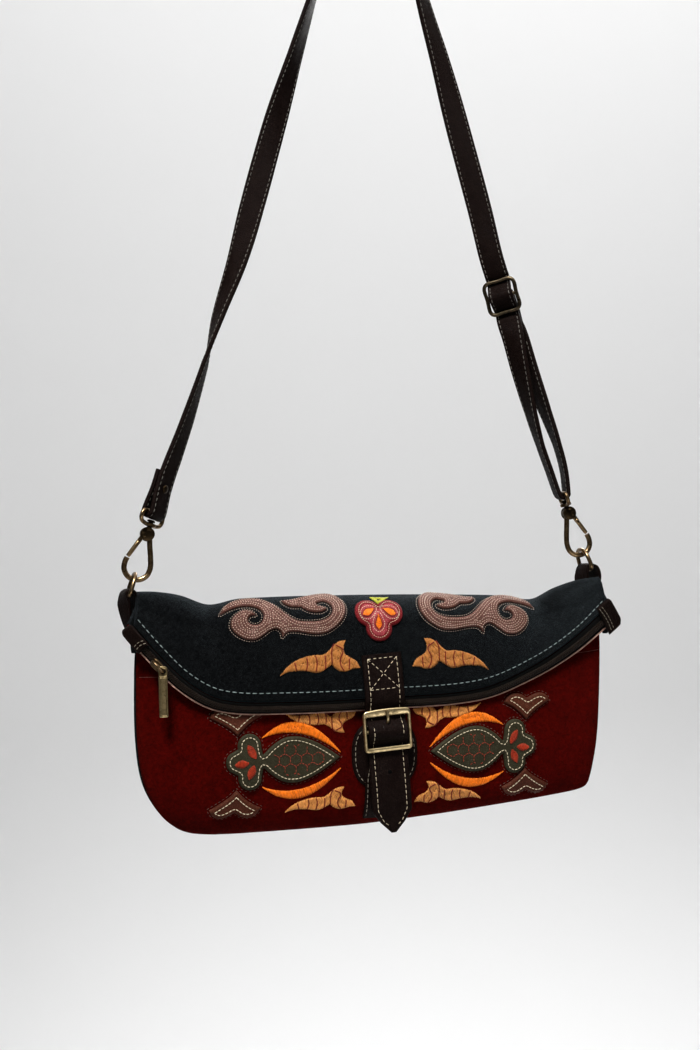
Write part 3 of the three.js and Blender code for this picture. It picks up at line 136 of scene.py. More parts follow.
def billow(x, z):
    """The soft unevenness of handled felt, left flat behind the buckle."""
    long_wave = 0.55 * np.sin(x / 21 + 1.6 * np.sin(z / 29)) + 0.4 * np.sin(z / 15 + x / 37)
    short_wave = 0.22 * np.sin((x + 0.7 * z) / 8.5) + 0.16 * np.sin((0.6 * x - z) / 6.1)
    behind_buckle = np.exp(-(((x + 2) / 26) ** 4))
    return (long_wave + short_wave) * (1 - behind_buckle)


def pouch_wall(u, rise, side):
    """A wall below the fold: u runs from the left seam to the right one, and side is -1 at the front."""
    x = mix(pouch["left"](rise), pouch["right"](rise), u)
    foot = bottom_line(x)
    z = foot + rise * (fold_base(u) - foot) / (fold_base(u) - LOWEST)
    power = pouch["side_power"](rise)
    rounding = mix(POUCH_ROUNDING, FOLD_ROUNDING, power * 2 - 1)
    bow = np.clip(1 - end_share(u) ** rounding, 0, 1) ** power
    depth = pouch["front" if side < 0 else "back"](rise) * bow
    soft = billow(x, z) * bow * np.clip(rise / 14, 0, 1)
    return xyz(x, side * (SEAM_OFFSET + depth + soft), z)


def fold_x(u):
    return mix(pouch["left"](FOLD_RISE), pouch["right"](FOLD_RISE), u)


def front_limb_y(u):
    return pouch_wall(u, fold_base(u) - LOWEST, -1)[..., 1]


def flap_y(u):
    return front_limb_y(u) - FOLD["crease"] - FOLD["flap_gap"]


def upper_edge(share):
    """The back wall's edge along the zip, and below it the front wall's."""
    return xyz(flap_edge["x"](share), flap_edge["y"](share), flap_edge["z"](share))


def lower_edge(share):
    step = 0.01
    run = upper_edge(np.clip(share + step, 0, 1)) - upper_edge(np.clip(share - step, 0, 1))
    length = np.hypot(run[..., 0], run[..., 2])
    drop = flap_edge["drop"](share)
    return upper_edge(share) + xyz(
        run[..., 2] / length * drop, flap_edge["set_back"](share), -run[..., 0] / length * drop
    )


def short_of(start, edge, distance):
    return edge + unit(start - edge) * distance


def upper_strip(u, v):
    """The red strip: v from 0 to 1 up the front, 1 to 2 over its crest, 2 to 3 down behind the flap."""
    base = fold_base(u)
    up_front = pouch_wall(u, mix(FRONT_SEAM_RISE + FRONT_SEAM_GAP, base - LOWEST, np.clip(v, 0, 1)), -1)
    radius = FOLD["crease"] / 2
    turn = np.pi * np.clip(v - 1, 0, 1)
    crest = xyz(fold_x(u), front_limb_y(u) - radius * (1 - np.cos(turn)), base + radius * np.sin(turn))
    start = xyz(fold_x(u), front_limb_y(u) - FOLD["crease"], base)
    behind = mix(start, short_of(start, lower_edge(u), EDGE_TRIM["under"]), np.clip(v - 2, 0, 1)[..., None])
    return np.where((v <= 1)[..., None], up_front, np.where((v <= 2)[..., None], crest, behind))


def normals_of(grid):
    """Unit normals of a grid of points, on the side where its rows run up and its columns right."""
    return unit(np.cross(np.gradient(grid, axis=1), np.gradient(grid, axis=0)))


def grid_faces(rows, columns):
    r, c = np.meshgrid(np.arange(rows - 1), np.arange(columns - 1), indexing="ij")
    a = (r * columns + c).ravel()
    return np.stack([a, a + 1, a + columns + 1, a + columns], 1)


def wall_of(grid, thickness, rounding):
    """A closed wall about a grid of middle points, with its border rounded outwards."""
    rows, columns = grid.shape[:2]
    facing = normals_of(grid) * thickness / 2
    count = rows * columns
    faces = grid_faces(rows, columns)
    last_row = rows - 1
    last_column = columns - 1
    up_rows, down_rows = np.arange(last_row), np.arange(last_row, 0, -1)
    up_columns, down_columns = np.arange(last_column), np.arange(last_column, 0, -1)
    r = np.concatenate([np.zeros(last_column), up_rows, np.full(last_column, last_row), down_rows])
    c = np.concatenate([up_columns, np.full(last_row, last_column), down_columns, np.zeros(last_row)])
    r, c = r.astype(int), c.astype(int)
    inside = grid[np.clip(r, 1, rows - 2), np.clip(c, 1, columns - 2)]
    rim = grid[r, c] + unit(grid[r, c] - inside) * rounding
    border = r * columns + c
    middle = 2 * count + np.arange(len(border))
    ahead, middle_ahead = np.roll(border, -1), np.roll(middle, -1)
    walls = [
        faces,
        faces[:, ::-1] + count,
        np.stack([ahead, border, middle, middle_ahead], 1),
        np.stack([middle_ahead, middle, border + count, ahead + count], 1),
    ]
    points = np.concatenate([(grid + facing).reshape(-1, 3), (grid - facing).reshape(-1, 3), rim])
    return points, np.concatenate(walls).tolist()


def piece(name, shape, material, replaces=(), body="bag", sharp=None):
    """One finished piece of the bag from its points and faces, riding on a body of the frame."""
    points, faces = shape
    mesh = bpy.data.meshes.new(name)
    mesh.from_pydata(((np.asarray(points) - HANG_POINT) * MM).tolist(), [], faces)
    mesh.materials.append(material)
    mesh.shade_smooth()
    if sharp:
        mesh.set_sharp_from_angle(angle=math.radians(sharp))
    made = bpy.data.objects.new(name, mesh)
    bpy.context.scene.collection.objects.link(made)
    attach(made, body)
    if replaces:
        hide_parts(*replaces)
    return made


def shader_group(name, inputs, outputs):
    """An empty shader node group with named sockets, its input and output nodes in place."""
    tree = bpy.data.node_groups.new(name, "ShaderNodeTree")
    for label, kind, value in inputs:
        socket = tree.interface.new_socket(label, in_out="INPUT", socket_type="NodeSocket" + kind)
        socket.default_value = value
    for label, kind in outputs:
        tree.interface.new_socket(label, in_out="OUTPUT", socket_type="NodeSocket" + kind)
    return tree, tree.nodes.new("NodeGroupInput").outputs, tree.nodes.new("NodeGroupOutput").inputs


def node(tree, kind, links=(), **settings):
    """A shader node with its settings, input values and links, given as (socket, value or socket)."""
    made = tree.nodes.new("ShaderNode" + kind)
    for label, value in settings.items():
        setattr(made, label, value)
    for socket, value in links:
        if isinstance(value, bpy.types.NodeSocket):
            tree.links.new(value, made.inputs[socket])
        else:
            made.inputs[socket].default_value = value
    return made


def blended(tree, share, first, second, blend_type="MIX"):
    """A mix of two colours, each a value or a socket."""
    links = ((0, share), (6, first), (7, second))
    return node(tree, "Mix", links, data_type="RGBA", blend_type=blend_type).outputs[2]


def shaded(tree, colour, shade):
    """A colour made darker or lighter by a grey value."""
    tint = node(tree, "CombineColor", ((0, shade), (1, shade), (2, shade))).outputs[0]
    return blended(tree, 1.0, colour, tint, "MULTIPLY")


def drawn_out(tree, place, scale, turn=(0, 0, 0)):
    """A place stretched and turned, for fibres and scratches that run one way."""
    return node(tree, "Mapping", (("Vector", place), ("Scale", scale), ("Rotation", turn))).outputs[0]


def counted(tree, operation, first, second):
    """A sum of two values or sockets."""
    return node(tree, "Math", ((0, first), (1, second)), operation=operation).outputs[0]


def spread(tree, value, low, high, to_low=0.0, to_high=1.0):
    """A value's range drawn out to another range, and held inside it."""
    links = (
        ("Value", value), ("From Min", low), ("From Max", high), ("To Min", to_low), ("To Max", to_high)
    )
    return node(tree, "MapRange", links).outputs[0]


def noise(tree, place, scale, detail=3.0, roughness=0.55, distortion=0.0):
    links = (
        ("Vector", place), ("Scale", scale), ("Detail", detail), ("Roughness", roughness),
        ("Distortion", distortion)
    )
    return node(tree, "TexNoise", links).outputs["Fac"]


def felt_fibres():
    """Matted wool: clumps of fibre a millimetre wide, stray pale fibres and broad shading."""
    inputs = (
        ("Colour", "Color", (0.1, 0.1, 0.1, 1)), ("Fibre", "Color", (0.3, 0.3, 0.3, 1)),
        ("Stray", "Float", 0.5), ("Mottle", "Float", 0.5),
    )
    tree, given, result = shader_group("felt_fibres", inputs, LOOK)
    place = node(tree, "TexCoord").outputs["Object"]
    warp = noise(tree, place, 260, 2)
    bent = node(tree, "VectorMath", ((0, place), (1, warp)), operation="ADD").outputs[0]
    across = drawn_out(tree, bent, (1, 1, 5), (0.3, 0.9, 0.4))
    along = drawn_out(tree, bent, (5, 1, 1), (0.5, -0.6, 0.2))
    matted = counted(tree, "ADD", noise(tree, across, 620, 5, 0.65), noise(tree, along, 620, 5, 0.65))
    clumps = noise(tree, place, 560, 5, 0.68, 0.9)
    broad = noise(tree, place, 75, 3, 0.6)
    stray = spread(tree, matted, 1.04, 1.34)
    pale = blended(tree, counted(tree, "MULTIPLY", stray, given["Stray"]), given["Colour"], given["Fibre"])
    uneven = counted(tree, "MULTIPLY", spread(tree, clumps, 0.38, 0.64, -1.0, 1.0), given["Mottle"])
    mottled = counted(tree, "ADD", uneven, 1.0)
    shade = counted(tree, "MULTIPLY", mottled, spread(tree, broad, 0.3, 0.7, 0.84, 1.16))
    tree.links.new(shaded(tree, pale, shade), result["Color"])
    tree.links.new(counted(tree, "ADD", matted, clumps), result["Height"])
    return tree


FELT_FIBRES = felt_fibres()


def surface(name, roughness, group, values, bump, bump_reach, **sockets):
    """A material with colour and relief from a shader group, its steady values on the shader itself."""
    material = bpy.data.materials.new(name)
    material.use_nodes = True
    tree = material.node_tree
    shader = tree.nodes["Principled BSDF"]
    shader.inputs["Roughness"].default_value = roughness
    for label, value in sockets.items():
        shader.inputs[label.replace("_", " ")].default_value = value
    effect = node(tree, "Group", node_tree=group)
    for label, value in values.items():
        effect.inputs[label].default_value = value
    tree.links.new(effect.outputs["Color"], shader.inputs["Base Color"])
    if "Roughness" in effect.outputs:
        tree.links.new(effect.outputs["Roughness"], shader.inputs["Roughness"])
    relief = node(
        tree, "Bump", (("Strength", bump), ("Distance", bump_reach), ("Height", effect.outputs["Height"]))
    )
    tree.links.new(relief.outputs[0], shader.inputs["Normal"])
    return material


def felt(name, colour, fibre, stray, mottle, sheen, sheen_tint):
    values = {"Colour": (*colour, 1), "Fibre": (*fibre, 1), "Stray": stray, "Mottle": mottle}
    return surface(
        name, 0.95, FELT_FIBRES, values, 0.8, 0.0009,
        Sheen_Weight=sheen, Sheen_Roughness=0.4, Sheen_Tint=(*sheen_tint, 1), Specular_IOR_Level=0.03,
    )


def swept(lines, section, facing, wide=1.0, thick=1.0, closed=False):
    """Bars of one section along lines of points; the section's second measure follows facing."""
    lines = np.asarray(lines, float)
    lines = lines[None] if lines.ndim == 2 else lines
    many, long = lines.shape[:2]
    around = len(section)
    if closed:
        run = unit(np.roll(lines, -1, axis=1) - np.roll(lines, 1, axis=1))
    else:
        run = unit(np.gradient(lines, axis=1))
    side = unit(np.cross(np.broadcast_to(facing, lines.shape), run))
    up = np.cross(run, side)
    wide = np.broadcast_to(wide, lines.shape[:2])[..., None, None]
    thick = np.broadcast_to(thick, lines.shape[:2])[..., None, None]
    section = np.asarray(section, float)
    sideways = side[:, :, None] * section[:, :1] * wide
    loops = lines[:, :, None] + sideways + up[:, :, None] * section[:, 1:] * thick
    start = (np.arange(many) * long * around)[:, None, None]
    k = np.arange(long if closed else long - 1)[None, :, None]
    j = np.arange(around)[None, None, :]
    ahead, beside = (k + 1) % long, (j + 1) % around
    here, there = start + k * around, start + ahead * around
    quads = np.stack([here + j, here + beside, there + beside, there + j], -1)
    faces = quads.reshape(-1, 4).tolist()
    if not closed:
        for first in start.ravel():
            last = first + (long - 1) * around
            faces.append(list(range(first + around - 1, first - 1, -1)))
            faces.append(list(range(last, last + around)))
    return loops.reshape(-1, 3), faces


def round_section(sides):
    turn = 2 * np.pi * np.arange(sides) / sides
    return np.stack([np.cos(turn), np.sin(turn)], 1)


def spaced(low, high, count):
    return np.linspace(low, high, count)


def crowded(count, crowding=0.55):
    """Shares from 0 to 1 that lie closer together towards both ends."""
    share = spaced(0, 1, count)
    return mix(share, 0.5 - 0.5 * np.cos(np.pi * share), crowding)


red_felt = felt(
    "wine_felt", WINE, WINE_FIBRE, stray=0.6, mottle=0.32, sheen=0.03, sheen_tint=(0.6, 0.12, 0.08)
)
across_pouch = crowded(150)
front_rises = FRONT_SEAM_RISE * spaced(0, 1, 74) ** 1.35
front_grid = pouch_wall(*np.meshgrid(across_pouch, front_rises), -1)
piece("felt_front", wall_of(front_grid, FELT, FELT_EDGE_ROUNDING), red_felt, ["front_panel"])
strip_shares = np.concatenate([spaced(0, 1, 18), spaced(1.08, 2, 14), spaced(2.06, 3, 22)])
strip_grid = upper_strip(*np.meshgrid(across_pouch, strip_shares))
piece(
    "felt_front_strip", wall_of(strip_grid, FELT, FELT_EDGE_ROUNDING), red_felt,
    ["front_upper_strip"]
)
seam_middle = pouch_wall(spaced(0.004, 0.996, 240), FRONT_SEAM_RISE + FRONT_SEAM_GAP / 2, -1)
seam_line = seam_middle - (0, FELT / 2, 0)
seam = swept(seam_line, round_section(8), TO_FRONT, SEAM_EDGE["wide"], SEAM_EDGE["high"])
seam_felt = felt("seam_edge", SEAM_PINK, SEAM_PINK, stray=0.5, mottle=0.4, sheen=0.0, sheen_tint=(1, 1, 1))
piece("front_seam_edge", seam, seam_felt)

# The back of the pouch, in charcoal-teal felt: it runs up the back, over the fold with its sag and two
# dents, and down the front as the flap. A row of grey-green stitches follows the flap's edge above the zip.
FOLD_TOP_LINE = {
    "x": [-146, -132, -118, -101, -82, 0, 78, 101, 116, 132, 146],
    "z": [6.5, 6, 3.5, -2.5, 0.4, 0, -3, -6, 0.5, 5, 6.5],
}
FOLD_DENTS = {"x": [-101, 101, -64, 58], "depth": [2.0, 2.2, 0.7, 0.8], "reach": [8, 9, 12, 13]}
FLAP_BULGE = 1.2
TEAL = (0.002, 0.002, 0.002)
TEAL_FIBRE = (0.07, 0.08, 0.086)
EDGE_STITCH = {"in": 3.9, "length": 2.7, "gap": 1.2, "thread": 0.28}
EDGE_THREAD = (0.18, 0.22, 0.215)
SIDE_EDGE = {"from": 12, "to": 112, "out": 0.5, "wide": 1.25, "deep": 1.5}
STRIP_END = {"share": 0.03, "over": 0.7, "down_to": 2.88}
FOLD_END = {"low": -29, "high": 3, "out": 0.7, "y": -5, "deep": 5.6, "thick": 0.8, "splay": 2.2}
STITCH_SHARES = np.array([0, 0.16, 0.5, 0.84, 1])
STITCH_RISE = np.array([-0.9, 0.35, 0.75, 0.35, -0.9])
STITCH_GIRTH = np.array([0.55, 0.95, 1, 0.95, 0.55])
fold_top = curve_through(FOLD_TOP_LINE, "x", "z")


def fold_dents(x, v):
    near_top = np.exp(-(((v - 1.85) / 0.4) ** 2))
    dents = zip(FOLD_DENTS["x"], FOLD_DENTS["depth"], FOLD_DENTS["reach"])
    return near_top * sum(depth * np.exp(-(((x - at) / reach) ** 2)) for at, depth, reach in dents)


def back_wall(u, v):
    """v runs from 0 to 1 up the back, 1 to 2 over the fold and 2 to 3 down the flap to its edge."""
    base = fold_base(u)
    up_back = pouch_wall(u, (base - LOWEST) * np.clip(v, 0, 1), 1)
    back_y = pouch_wall(u, base - LOWEST, 1)[..., 1]
    turn = np.pi * np.clip(v - 1, 0, 1)
    middle, half = (back_y + flap_y(u)) / 2, (back_y - flap_y(u)) / 2
    x = fold_x(u)
    over = xyz(x, middle + half * np.cos(turn), base + (fold_top(x) - FELT / 2 - base) * np.sin(turn))
    share = np.clip(v - 2, 0, 1)
    start = xyz(x, flap_y(u), base)
    down = mix(start, short_of(start, upper_edge(u), EDGE_TRIM["over"]), share[..., None])
    bulge = FLAP_BULGE * 4 * share * (1 - share) * (1 - end_share(u) ** FOLD_ROUNDING)
    down[..., 1] -= bulge
    made = np.where((v <= 1)[..., None], up_back, np.where((v <= 2)[..., None], over, down))
    made[..., 1] += fold_dents(made[..., 0], v) * (v > 1.4)
    return made


def laid_on(xs, ys, grid, lift_off):
    """A place on a surface by two measures and a lift, read from a grid of points over those measures."""
    facing = normals_of(grid)

    def place(x, y, lift):
        x, y, lift = np.broadcast_arrays(x, y, lift)
        fx = np.clip((x - xs[0]) / (xs[1] - xs[0]), 0, len(xs) - 1.001)
        fy = np.clip((y - ys[0]) / (ys[1] - ys[0]), 0, len(ys) - 1.001)
        i, j = fx.astype(int), fy.astype(int)
        s, t = (fx - i)[..., None], (fy - j)[..., None]

        def read(values):
            low = mix(values[j, i], values[j, i + 1], s)
            return mix(low, mix(values[j + 1, i], values[j + 1, i + 1], s), t)

        return read(grid) + unit(read(facing)) * (np.asarray(lift) + lift_off)[..., None]

    return place


def length_along(points):
    steps = np.linalg.norm(np.diff(points, axis=0), axis=-1)
    return np.concatenate([[0], np.cumsum(steps)])


def flap_map():
    """Places on the flap's outer face by x and by distance down from the top of the fold."""
    xs, downs, vs = spaced(-150, 150, 301), spaced(0, 84, 169), spaced(1.5, 3, 260)
    share = (xs - fold_x(0.0)) / (fold_x(1.0) - fold_x(0.0))
    lines = back_wall(*np.meshgrid(np.clip(share, 0, 1), vs))
    grid = np.empty((len(downs), len(xs), 3))
    for column in range(len(xs)):
        line = lines[:, column]
        along = length_along(line)
        for axis in range(3):
            grid[:, column, axis] = np.interp(downs, along, line[:, axis])
    return xs, -downs[::-1], grid[::-1]


on_flap = laid_on(*flap_map(), FELT / 2)


def joined(*shapes):
    """Several shapes as one list of points and faces."""
    points, faces, count = [], [], 0
    for some_points, some_faces in shapes:
        points.append(np.asarray(some_points).reshape(-1, 3))
        faces.extend([[corner + count for corner in face] for face in some_faces])
        count += len(points[-1])
    return np.concatenate(points), faces


def stitch_run(path, place, stitch, lift=0.0, lead=0.0):
    """A row of stitches along a path in a surface's own measures, each dipping in at its ends."""
    path = np.asarray(path, float)
    along = length_along(place(path[:, 0], path[:, 1], lift))
    starts = np.arange(lead, along[-1] - stitch["length"], stitch["length"] + stitch["gap"])
    at = starts[:, None] + stitch["length"] * STITCH_SHARES
    x, y = np.interp(at, along, path[:, 0]), np.interp(at, along, path[:, 1])
    lines = place(x, y, lift + stitch["thread"] * STITCH_RISE)
    facing = place(x, y, lift + 1.0) - place(x, y, lift)
    girth = stitch["thread"] * STITCH_GIRTH
    return swept(lines, round_section(6), facing, girth, girth)


def thread_twist():
    """Sewing thread: a little uneven in colour, with the bumps of its twist."""
    tree, given, result = shader_group("thread_twist", (("Colour", "Color", (0.5, 0.5, 0.5, 1)),), LOOK)
    place = node(tree, "TexCoord").outputs["Object"]
    shade = spread(tree, noise(tree, place, 700, 3), 0.25, 0.75, 0.68, 1.25)
    tree.links.new(shaded(tree, given["Colour"], shade), result["Color"])
    tree.links.new(noise(tree, place, 4200, 2), result["Height"])
    return tree


THREAD_TWIST = thread_twist()


def thread(name, colour, roughness=0.6):
    values = {"Colour": (*colour, 1)}
    return surface(
        name, roughness, THREAD_TWIST, values, 0.4, 0.0002, Sheen_Weight=0.05, Specular_IOR_Level=0.2
    )


teal_felt = felt(
    "teal_felt", TEAL, TEAL_FIBRE, stray=0.55, mottle=0.95, sheen=0.12, sheen_tint=(0.5, 0.6, 0.66)
)
back_rows = np.concatenate([spaced(0, 1, 60) ** 1.3, spaced(1.03, 2, 34), spaced(2.03, 3, 40)])
back_grid = back_wall(*np.meshgrid(across_pouch[::-1], back_rows))
piece(
    "felt_back_and_flap", wall_of(back_grid, FELT, FELT_EDGE_ROUNDING), teal_felt,
    ["back_panel"]
)


def side_edge(share, out):
    """The back's edge where it turns a little way round the side seam."""
    rises = spaced(SIDE_EDGE["from"], SIDE_EDGE["to"], 90)
    line = pouch_wall(np.full(90, share), rises, 1) + (out * SIDE_EDGE["out"], 0, 0)
    taper = np.sin(np.pi * spaced(0.02, 0.98, 90)) ** 0.35
    return swept(line, round_section(12), TO_BACK, SIDE_EDGE["wide"] * taper, SIDE_EDGE["deep"] * taper)


def fold_end(share, out):
    """The felt gathered at one end of the fold, between the flap and the back."""
    heights = spaced(FOLD_END["low"], FOLD_END["high"], 24)
    splay = FOLD_END["splay"] * np.clip(heights / FOLD_END["low"], 0, 1)
    line = xyz(fold_x(share) + out * (FOLD_END["out"] + splay), FOLD_END["y"], heights)
    taper = np.sin(np.pi * spaced(0.04, 0.96, 24)) ** 0.4
    thick = (FOLD_END["thick"] + splay) * taper
    return swept(line, round_section(14), TO_LEFT, FOLD_END["deep"] * taper, thick)


def strip_end(share, out):
    """Teal felt bound over one end of the red strip behind the flap."""
    shares = np.sort(share - out * spaced(0, STRIP_END["share"], 8))
    grid = upper_strip(*np.meshgrid(shares, spaced(2.06, STRIP_END["down_to"], 18)))
    return wall_of(grid, FELT + STRIP_END["over"], FELT_EDGE_ROUNDING + STRIP_END["over"])


ends = ((0.0, -1), (1.0, 1))
piece("felt_side_edges", joined(*(side_edge(*end) for end in ends)), teal_felt)
piece("felt_strip_ends", joined(*(strip_end(*end) for end in ends)), teal_felt)
piece("felt_fold_ends", joined(*(fold_end(*end) for end in ends)), teal_felt)


def flap_edge_path(inside):
    """A line that follows the flap's edge at a steady distance inside it, in the flap's own measures."""
    u = spaced(0.004, 0.996, 500)
    start = xyz(fold_x(u), flap_y(u), fold_base(u))
    reach = np.linalg.norm(upper_edge(u) - start, axis=-1)
    return u, 3 - (EDGE_TRIM["over"] + inside) / np.maximum(reach, inside * 1.3)


def on_back(u, v, lift):
    """A place on the back panel's outer face by its own two measures."""
    step = 1e-3
    along = back_wall(u + step, v) - back_wall(u - step, v)
    up = back_wall(u, v + step) - back_wall(u, v - step)
    return back_wall(u, v) + unit(np.cross(up, along)) * (np.asarray(lift) + FELT / 2)[..., None]


edge_path = np.stack(flap_edge_path(EDGE_STITCH["in"]), 1)
edge_thread = thread("edge_thread", EDGE_THREAD)
piece("flap_edge_stitches", stitch_run(edge_path, on_back, EDGE_STITCH), edge_thread)

# The zip along the flap's edge: two strips of dark woven tape, closed coil teeth that meet in a fine
# chevron, and a thin tan edging where the lower tape is sewn to the red felt.
ZIP = {"tape": 0.6, "edge_gap": 0.05}
TOOTH = {"pitch": 1.3, "length": 2.1, "wide": 0.5, "high": 0.55, "slant": 0.55}
TOOTH_LIFT = (0.55, 1.0, 0.95, 0.25)
TOOTH_GIRTH = (0.7, 1, 1, 0.75)
TEETH_OVERLAP = 0.35
ZIP_EDGING = {"wide": 0.55, "high": 0.4}
TAPE_COLOUR = (0.002, 0.0015, 0.0012)
TEETH_COLOUR = (0.02, 0.0135, 0.0095)
EDGING_COLOUR = (0.38, 0.24, 0.19)


def on_zip(share, wide, lift):
    """A place on the zip by its share along, 0 to 1 across from the flap's edge, and a lift off it."""
    step = 0.004
    across = lower_edge(share) - upper_edge(share)
    run = upper_edge(np.clip(share + step, 0, 1)) - upper_edge(np.clip(share - step, 0, 1))
    facing = unit(np.cross(across, run))
    wide = mix(ZIP["edge_gap"], 1 - ZIP["edge_gap"], np.asarray(wide, float))
    return upper_edge(share) + across * wide[..., None] + facing * np.asarray(lift, float)[..., None]


def woven_tape():
    """Twill tape: fine diagonal ribs, painted darker in their troughs and lighter on their crests, with a
    little dust of lighter fibre.
    """
    inputs = (("Colour", "Color", (0.1, 0.1, 0.1, 1)), ("Rib", "Float", 900.0))
    tree, given, result = shader_group("woven_tape", inputs, LOOK)
    place = node(tree, "TexCoord").outputs["Object"]
    ribs = node(
        tree, "TexWave", (("Vector", place), ("Scale", given["Rib"]), ("Distortion", 1.5), ("Detail", 2.0)),
        bands_direction="DIAGONAL"
    )
    # Painted shade and highlight: the colour darkens in the troughs between the ribs and lightens on their
    # crests.
    rib_shade_and_highlight = spread(tree, ribs.outputs["Fac"], 0, 1, 0.6, 1.5)
    shade = counted(tree, "MULTIPLY", rib_shade_and_highlight, spread(tree, noise(tree, place, 500), 0.3, 0.7, 0.7, 1.3))
    tree.links.new(shaded(tree, given["Colour"], shade), result["Color"])
    tree.links.new(ribs.outputs["Fac"], result["Height"])
    return tree


WOVEN_TAPE = woven_tape()


def tape(name, colour, rib, roughness=0.85):
    values = {"Colour": (*colour, 1), "Rib": rib}
    return surface(name, roughness, WOVEN_TAPE, values, 0.5, 0.0003, Specular_IOR_Level=0.2)


def zip_strip(low, high):
    shares, across = spaced(0, 1, 240), spaced(low, high, 7)
    wide, share = np.meshgrid(across, shares, indexing="ij")
    return wall_of(on_zip(share, wide, 0.0)[::-1], ZIP["tape"], 0.2)


def zip_teeth():
    """Slanted rounded bars from both tapes, each row half a pitch behind the other so that they lock."""
    shares = spaced(0, 1, 600)
    along = length_along(on_zip(shares, np.full(600, 0.5), np.zeros(600)))
    count = int(along[-1] / TOOTH["pitch"])
    rows = []
    for side, shift in ((-1, 0.0), (1, 0.5)):
        root = (np.arange(count) + shift) * TOOTH["pitch"]
        share = np.interp(root, along, shares)
        ahead = np.interp(root + TOOTH["slant"], along, shares)
        half_width = np.linalg.norm(lower_edge(share) - upper_edge(share), axis=-1)
        reach = np.array([-TEETH_OVERLAP, 0.25 * TOOTH["length"], 0.7 * TOOTH["length"], TOOTH["length"]])
        at = mix(ahead[:, None], share[:, None], spaced(0, 1, 4))
        wide = 0.5 + side * reach / half_width[:, None]
        lines = on_zip(at, wide, np.broadcast_to(TOOTH_LIFT, wide.shape))
        facing = on_zip(at, wide, np.full(wide.shape, 2.0)) - on_zip(at, wide, np.full(wide.shape, 1.0))
        girth = np.array(TOOTH_GIRTH)
        rows.append(swept(lines, round_section(8), facing, TOOTH["wide"] * girth, TOOTH["high"] * girth))
    return joined(*rows)


zip_tape_look = tape("zip_tape", TAPE_COLOUR, 900.0)
piece(
    "zip_tape_woven", joined(zip_strip(0, 0.44), zip_strip(0.56, 1)), zip_tape_look,
    ["zip_tape"]
)
zip_teeth_look = tape("zip_teeth", TEETH_COLOUR, 1500.0, 0.38)
piece("zip_teeth", zip_teeth(), zip_teeth_look)
edging_share = spaced(0.004, 0.996, 260)
edging_line = on_zip(edging_share, np.full(260, 1.0), np.full(260, 0.35))
edging_facing = on_zip(edging_share, np.full(260, 1.0), np.full(260, 1.0)) - edging_line
edging = swept(edging_line, round_section(8), edging_facing, ZIP_EDGING["wide"], ZIP_EDGING["high"])
piece("zip_edging", edging, tape("zip_edging", EDGING_COLOUR, 1300.0))

# The small leather tabs over the zip's ends: dark brown leather folded round the tape and sewn across.
LEATHER = 1.2
ZIP_TABS = {
    "left": {
        "end": 0.0, "out": -1, "width": 8.8, "shift": 0, "cover": 14, "stitch_at": (-12.4, -10.4),
        "rounding": 0.5
    },
    "right": {
        "end": 1.0, "out": 1, "width": 21.5, "shift": -1.2, "cover": 10.5, "stitch_at": (-9.4, -7.2),
        "rounding": 0.74
    },
}
ZIP_TAB_ROUTE = {"reach": (-0.55, 0, 0.8, 1.6, 1.9, 1.9), "lift": (2.05, 2.0, 1.8, 1.0, 0.2, -0.6)}
TAB_STITCH = {"length": 1.9, "gap": 0.7, "thread": 0.2}
CREAM = (0.55, 0.47, 0.335)
DIM_CREAM = (0.27, 0.24, 0.185)
DARK_LEATHER = (0.0098, 0.005, 0.004)
DARK_LEATHER_RUBBED = (0.03, 0.0205, 0.0165)


def leather_grain():
    """Tanned hide: pebbled cells parted by fine creases darkened with painted shade, rubbed paler in
    patches.
    """
    inputs = (
        ("Colour", "Color", (0.1, 0.1, 0.1, 1)), ("Rubbed", "Color", (0.2, 0.2, 0.2, 1)),
        ("Pebble", "Float", 900.0), ("Wear", "Float", 0.5), ("Gloss", "Float", 0.45),
    )
    tree, given, result = shader_group("leather_grain", inputs, GLOSSY_LOOK)
    place = node(tree, "TexCoord").outputs["Object"]
    warp = noise(tree, place, 500, 2)
    sway = node(tree, "VectorMath", ((0, (0.0012, 0.0012, 0.0012)), (1, warp)), operation="MULTIPLY")
    bent = node(tree, "VectorMath", ((0, place), (1, sway.outputs[0])), operation="ADD").outputs[0]
    cells = node(
        tree, "TexVoronoi", (("Vector", bent), ("Scale", given["Pebble"])), feature="DISTANCE_TO_EDGE"
    ).outputs["Distance"]
    pebble = spread(tree, cells, 0.0, 0.28)
    patches = noise(tree, place, 160, 4, 0.6)
    fine = noise(tree, place, 2600, 3)
    rubbed = counted(tree, "MULTIPLY", spread(tree, patches, 0.42, 0.72), given["Wear"])
    tops = counted(tree, "MULTIPLY", rubbed, pebble)
    colour = blended(tree, tops, given["Colour"], given["Rubbed"])
    # Painted shade: the colour darkens in the creases between the pebbles, where the relief is lowest.
    hollows = spread(tree, pebble, 0, 1, 0.55, 1.1)
    shade = counted(tree, "MULTIPLY", hollows, spread(tree, fine, 0.3, 0.7, 0.85, 1.12))
    tree.links.new(shaded(tree, colour, shade), result["Color"])
    uneven = counted(tree, "ADD", given["Gloss"], spread(tree, patches, 0.3, 0.7, -0.1, 0.12))
    tree.links.new(uneven, result["Roughness"])
    tree.links.new(counted(tree, "ADD", pebble, counted(tree, "MULTIPLY", fine, 0.35)), result["Height"])
    return tree


LEATHER_GRAIN = leather_grain()


def leather(name, colour, rubbed, pebble, wear, gloss, bump=0.35, shine=0.1):
    values = {
        "Colour": (*colour, 1), "Rubbed": (*rubbed, 1), "Pebble": pebble, "Wear": wear, "Gloss": gloss
    }
    return surface(name, gloss, LEATHER_GRAIN, values, bump, 0.0004, Specular_IOR_Level=shine)


dark_leather = leather(
    "dark_leather", DARK_LEATHER, DARK_LEATHER_RUBBED,
    pebble=1000.0, wear=0.45, gloss=0.45, bump=0.5, shine=0.05,
)
cream_thread = thread("cream_thread", CREAM)


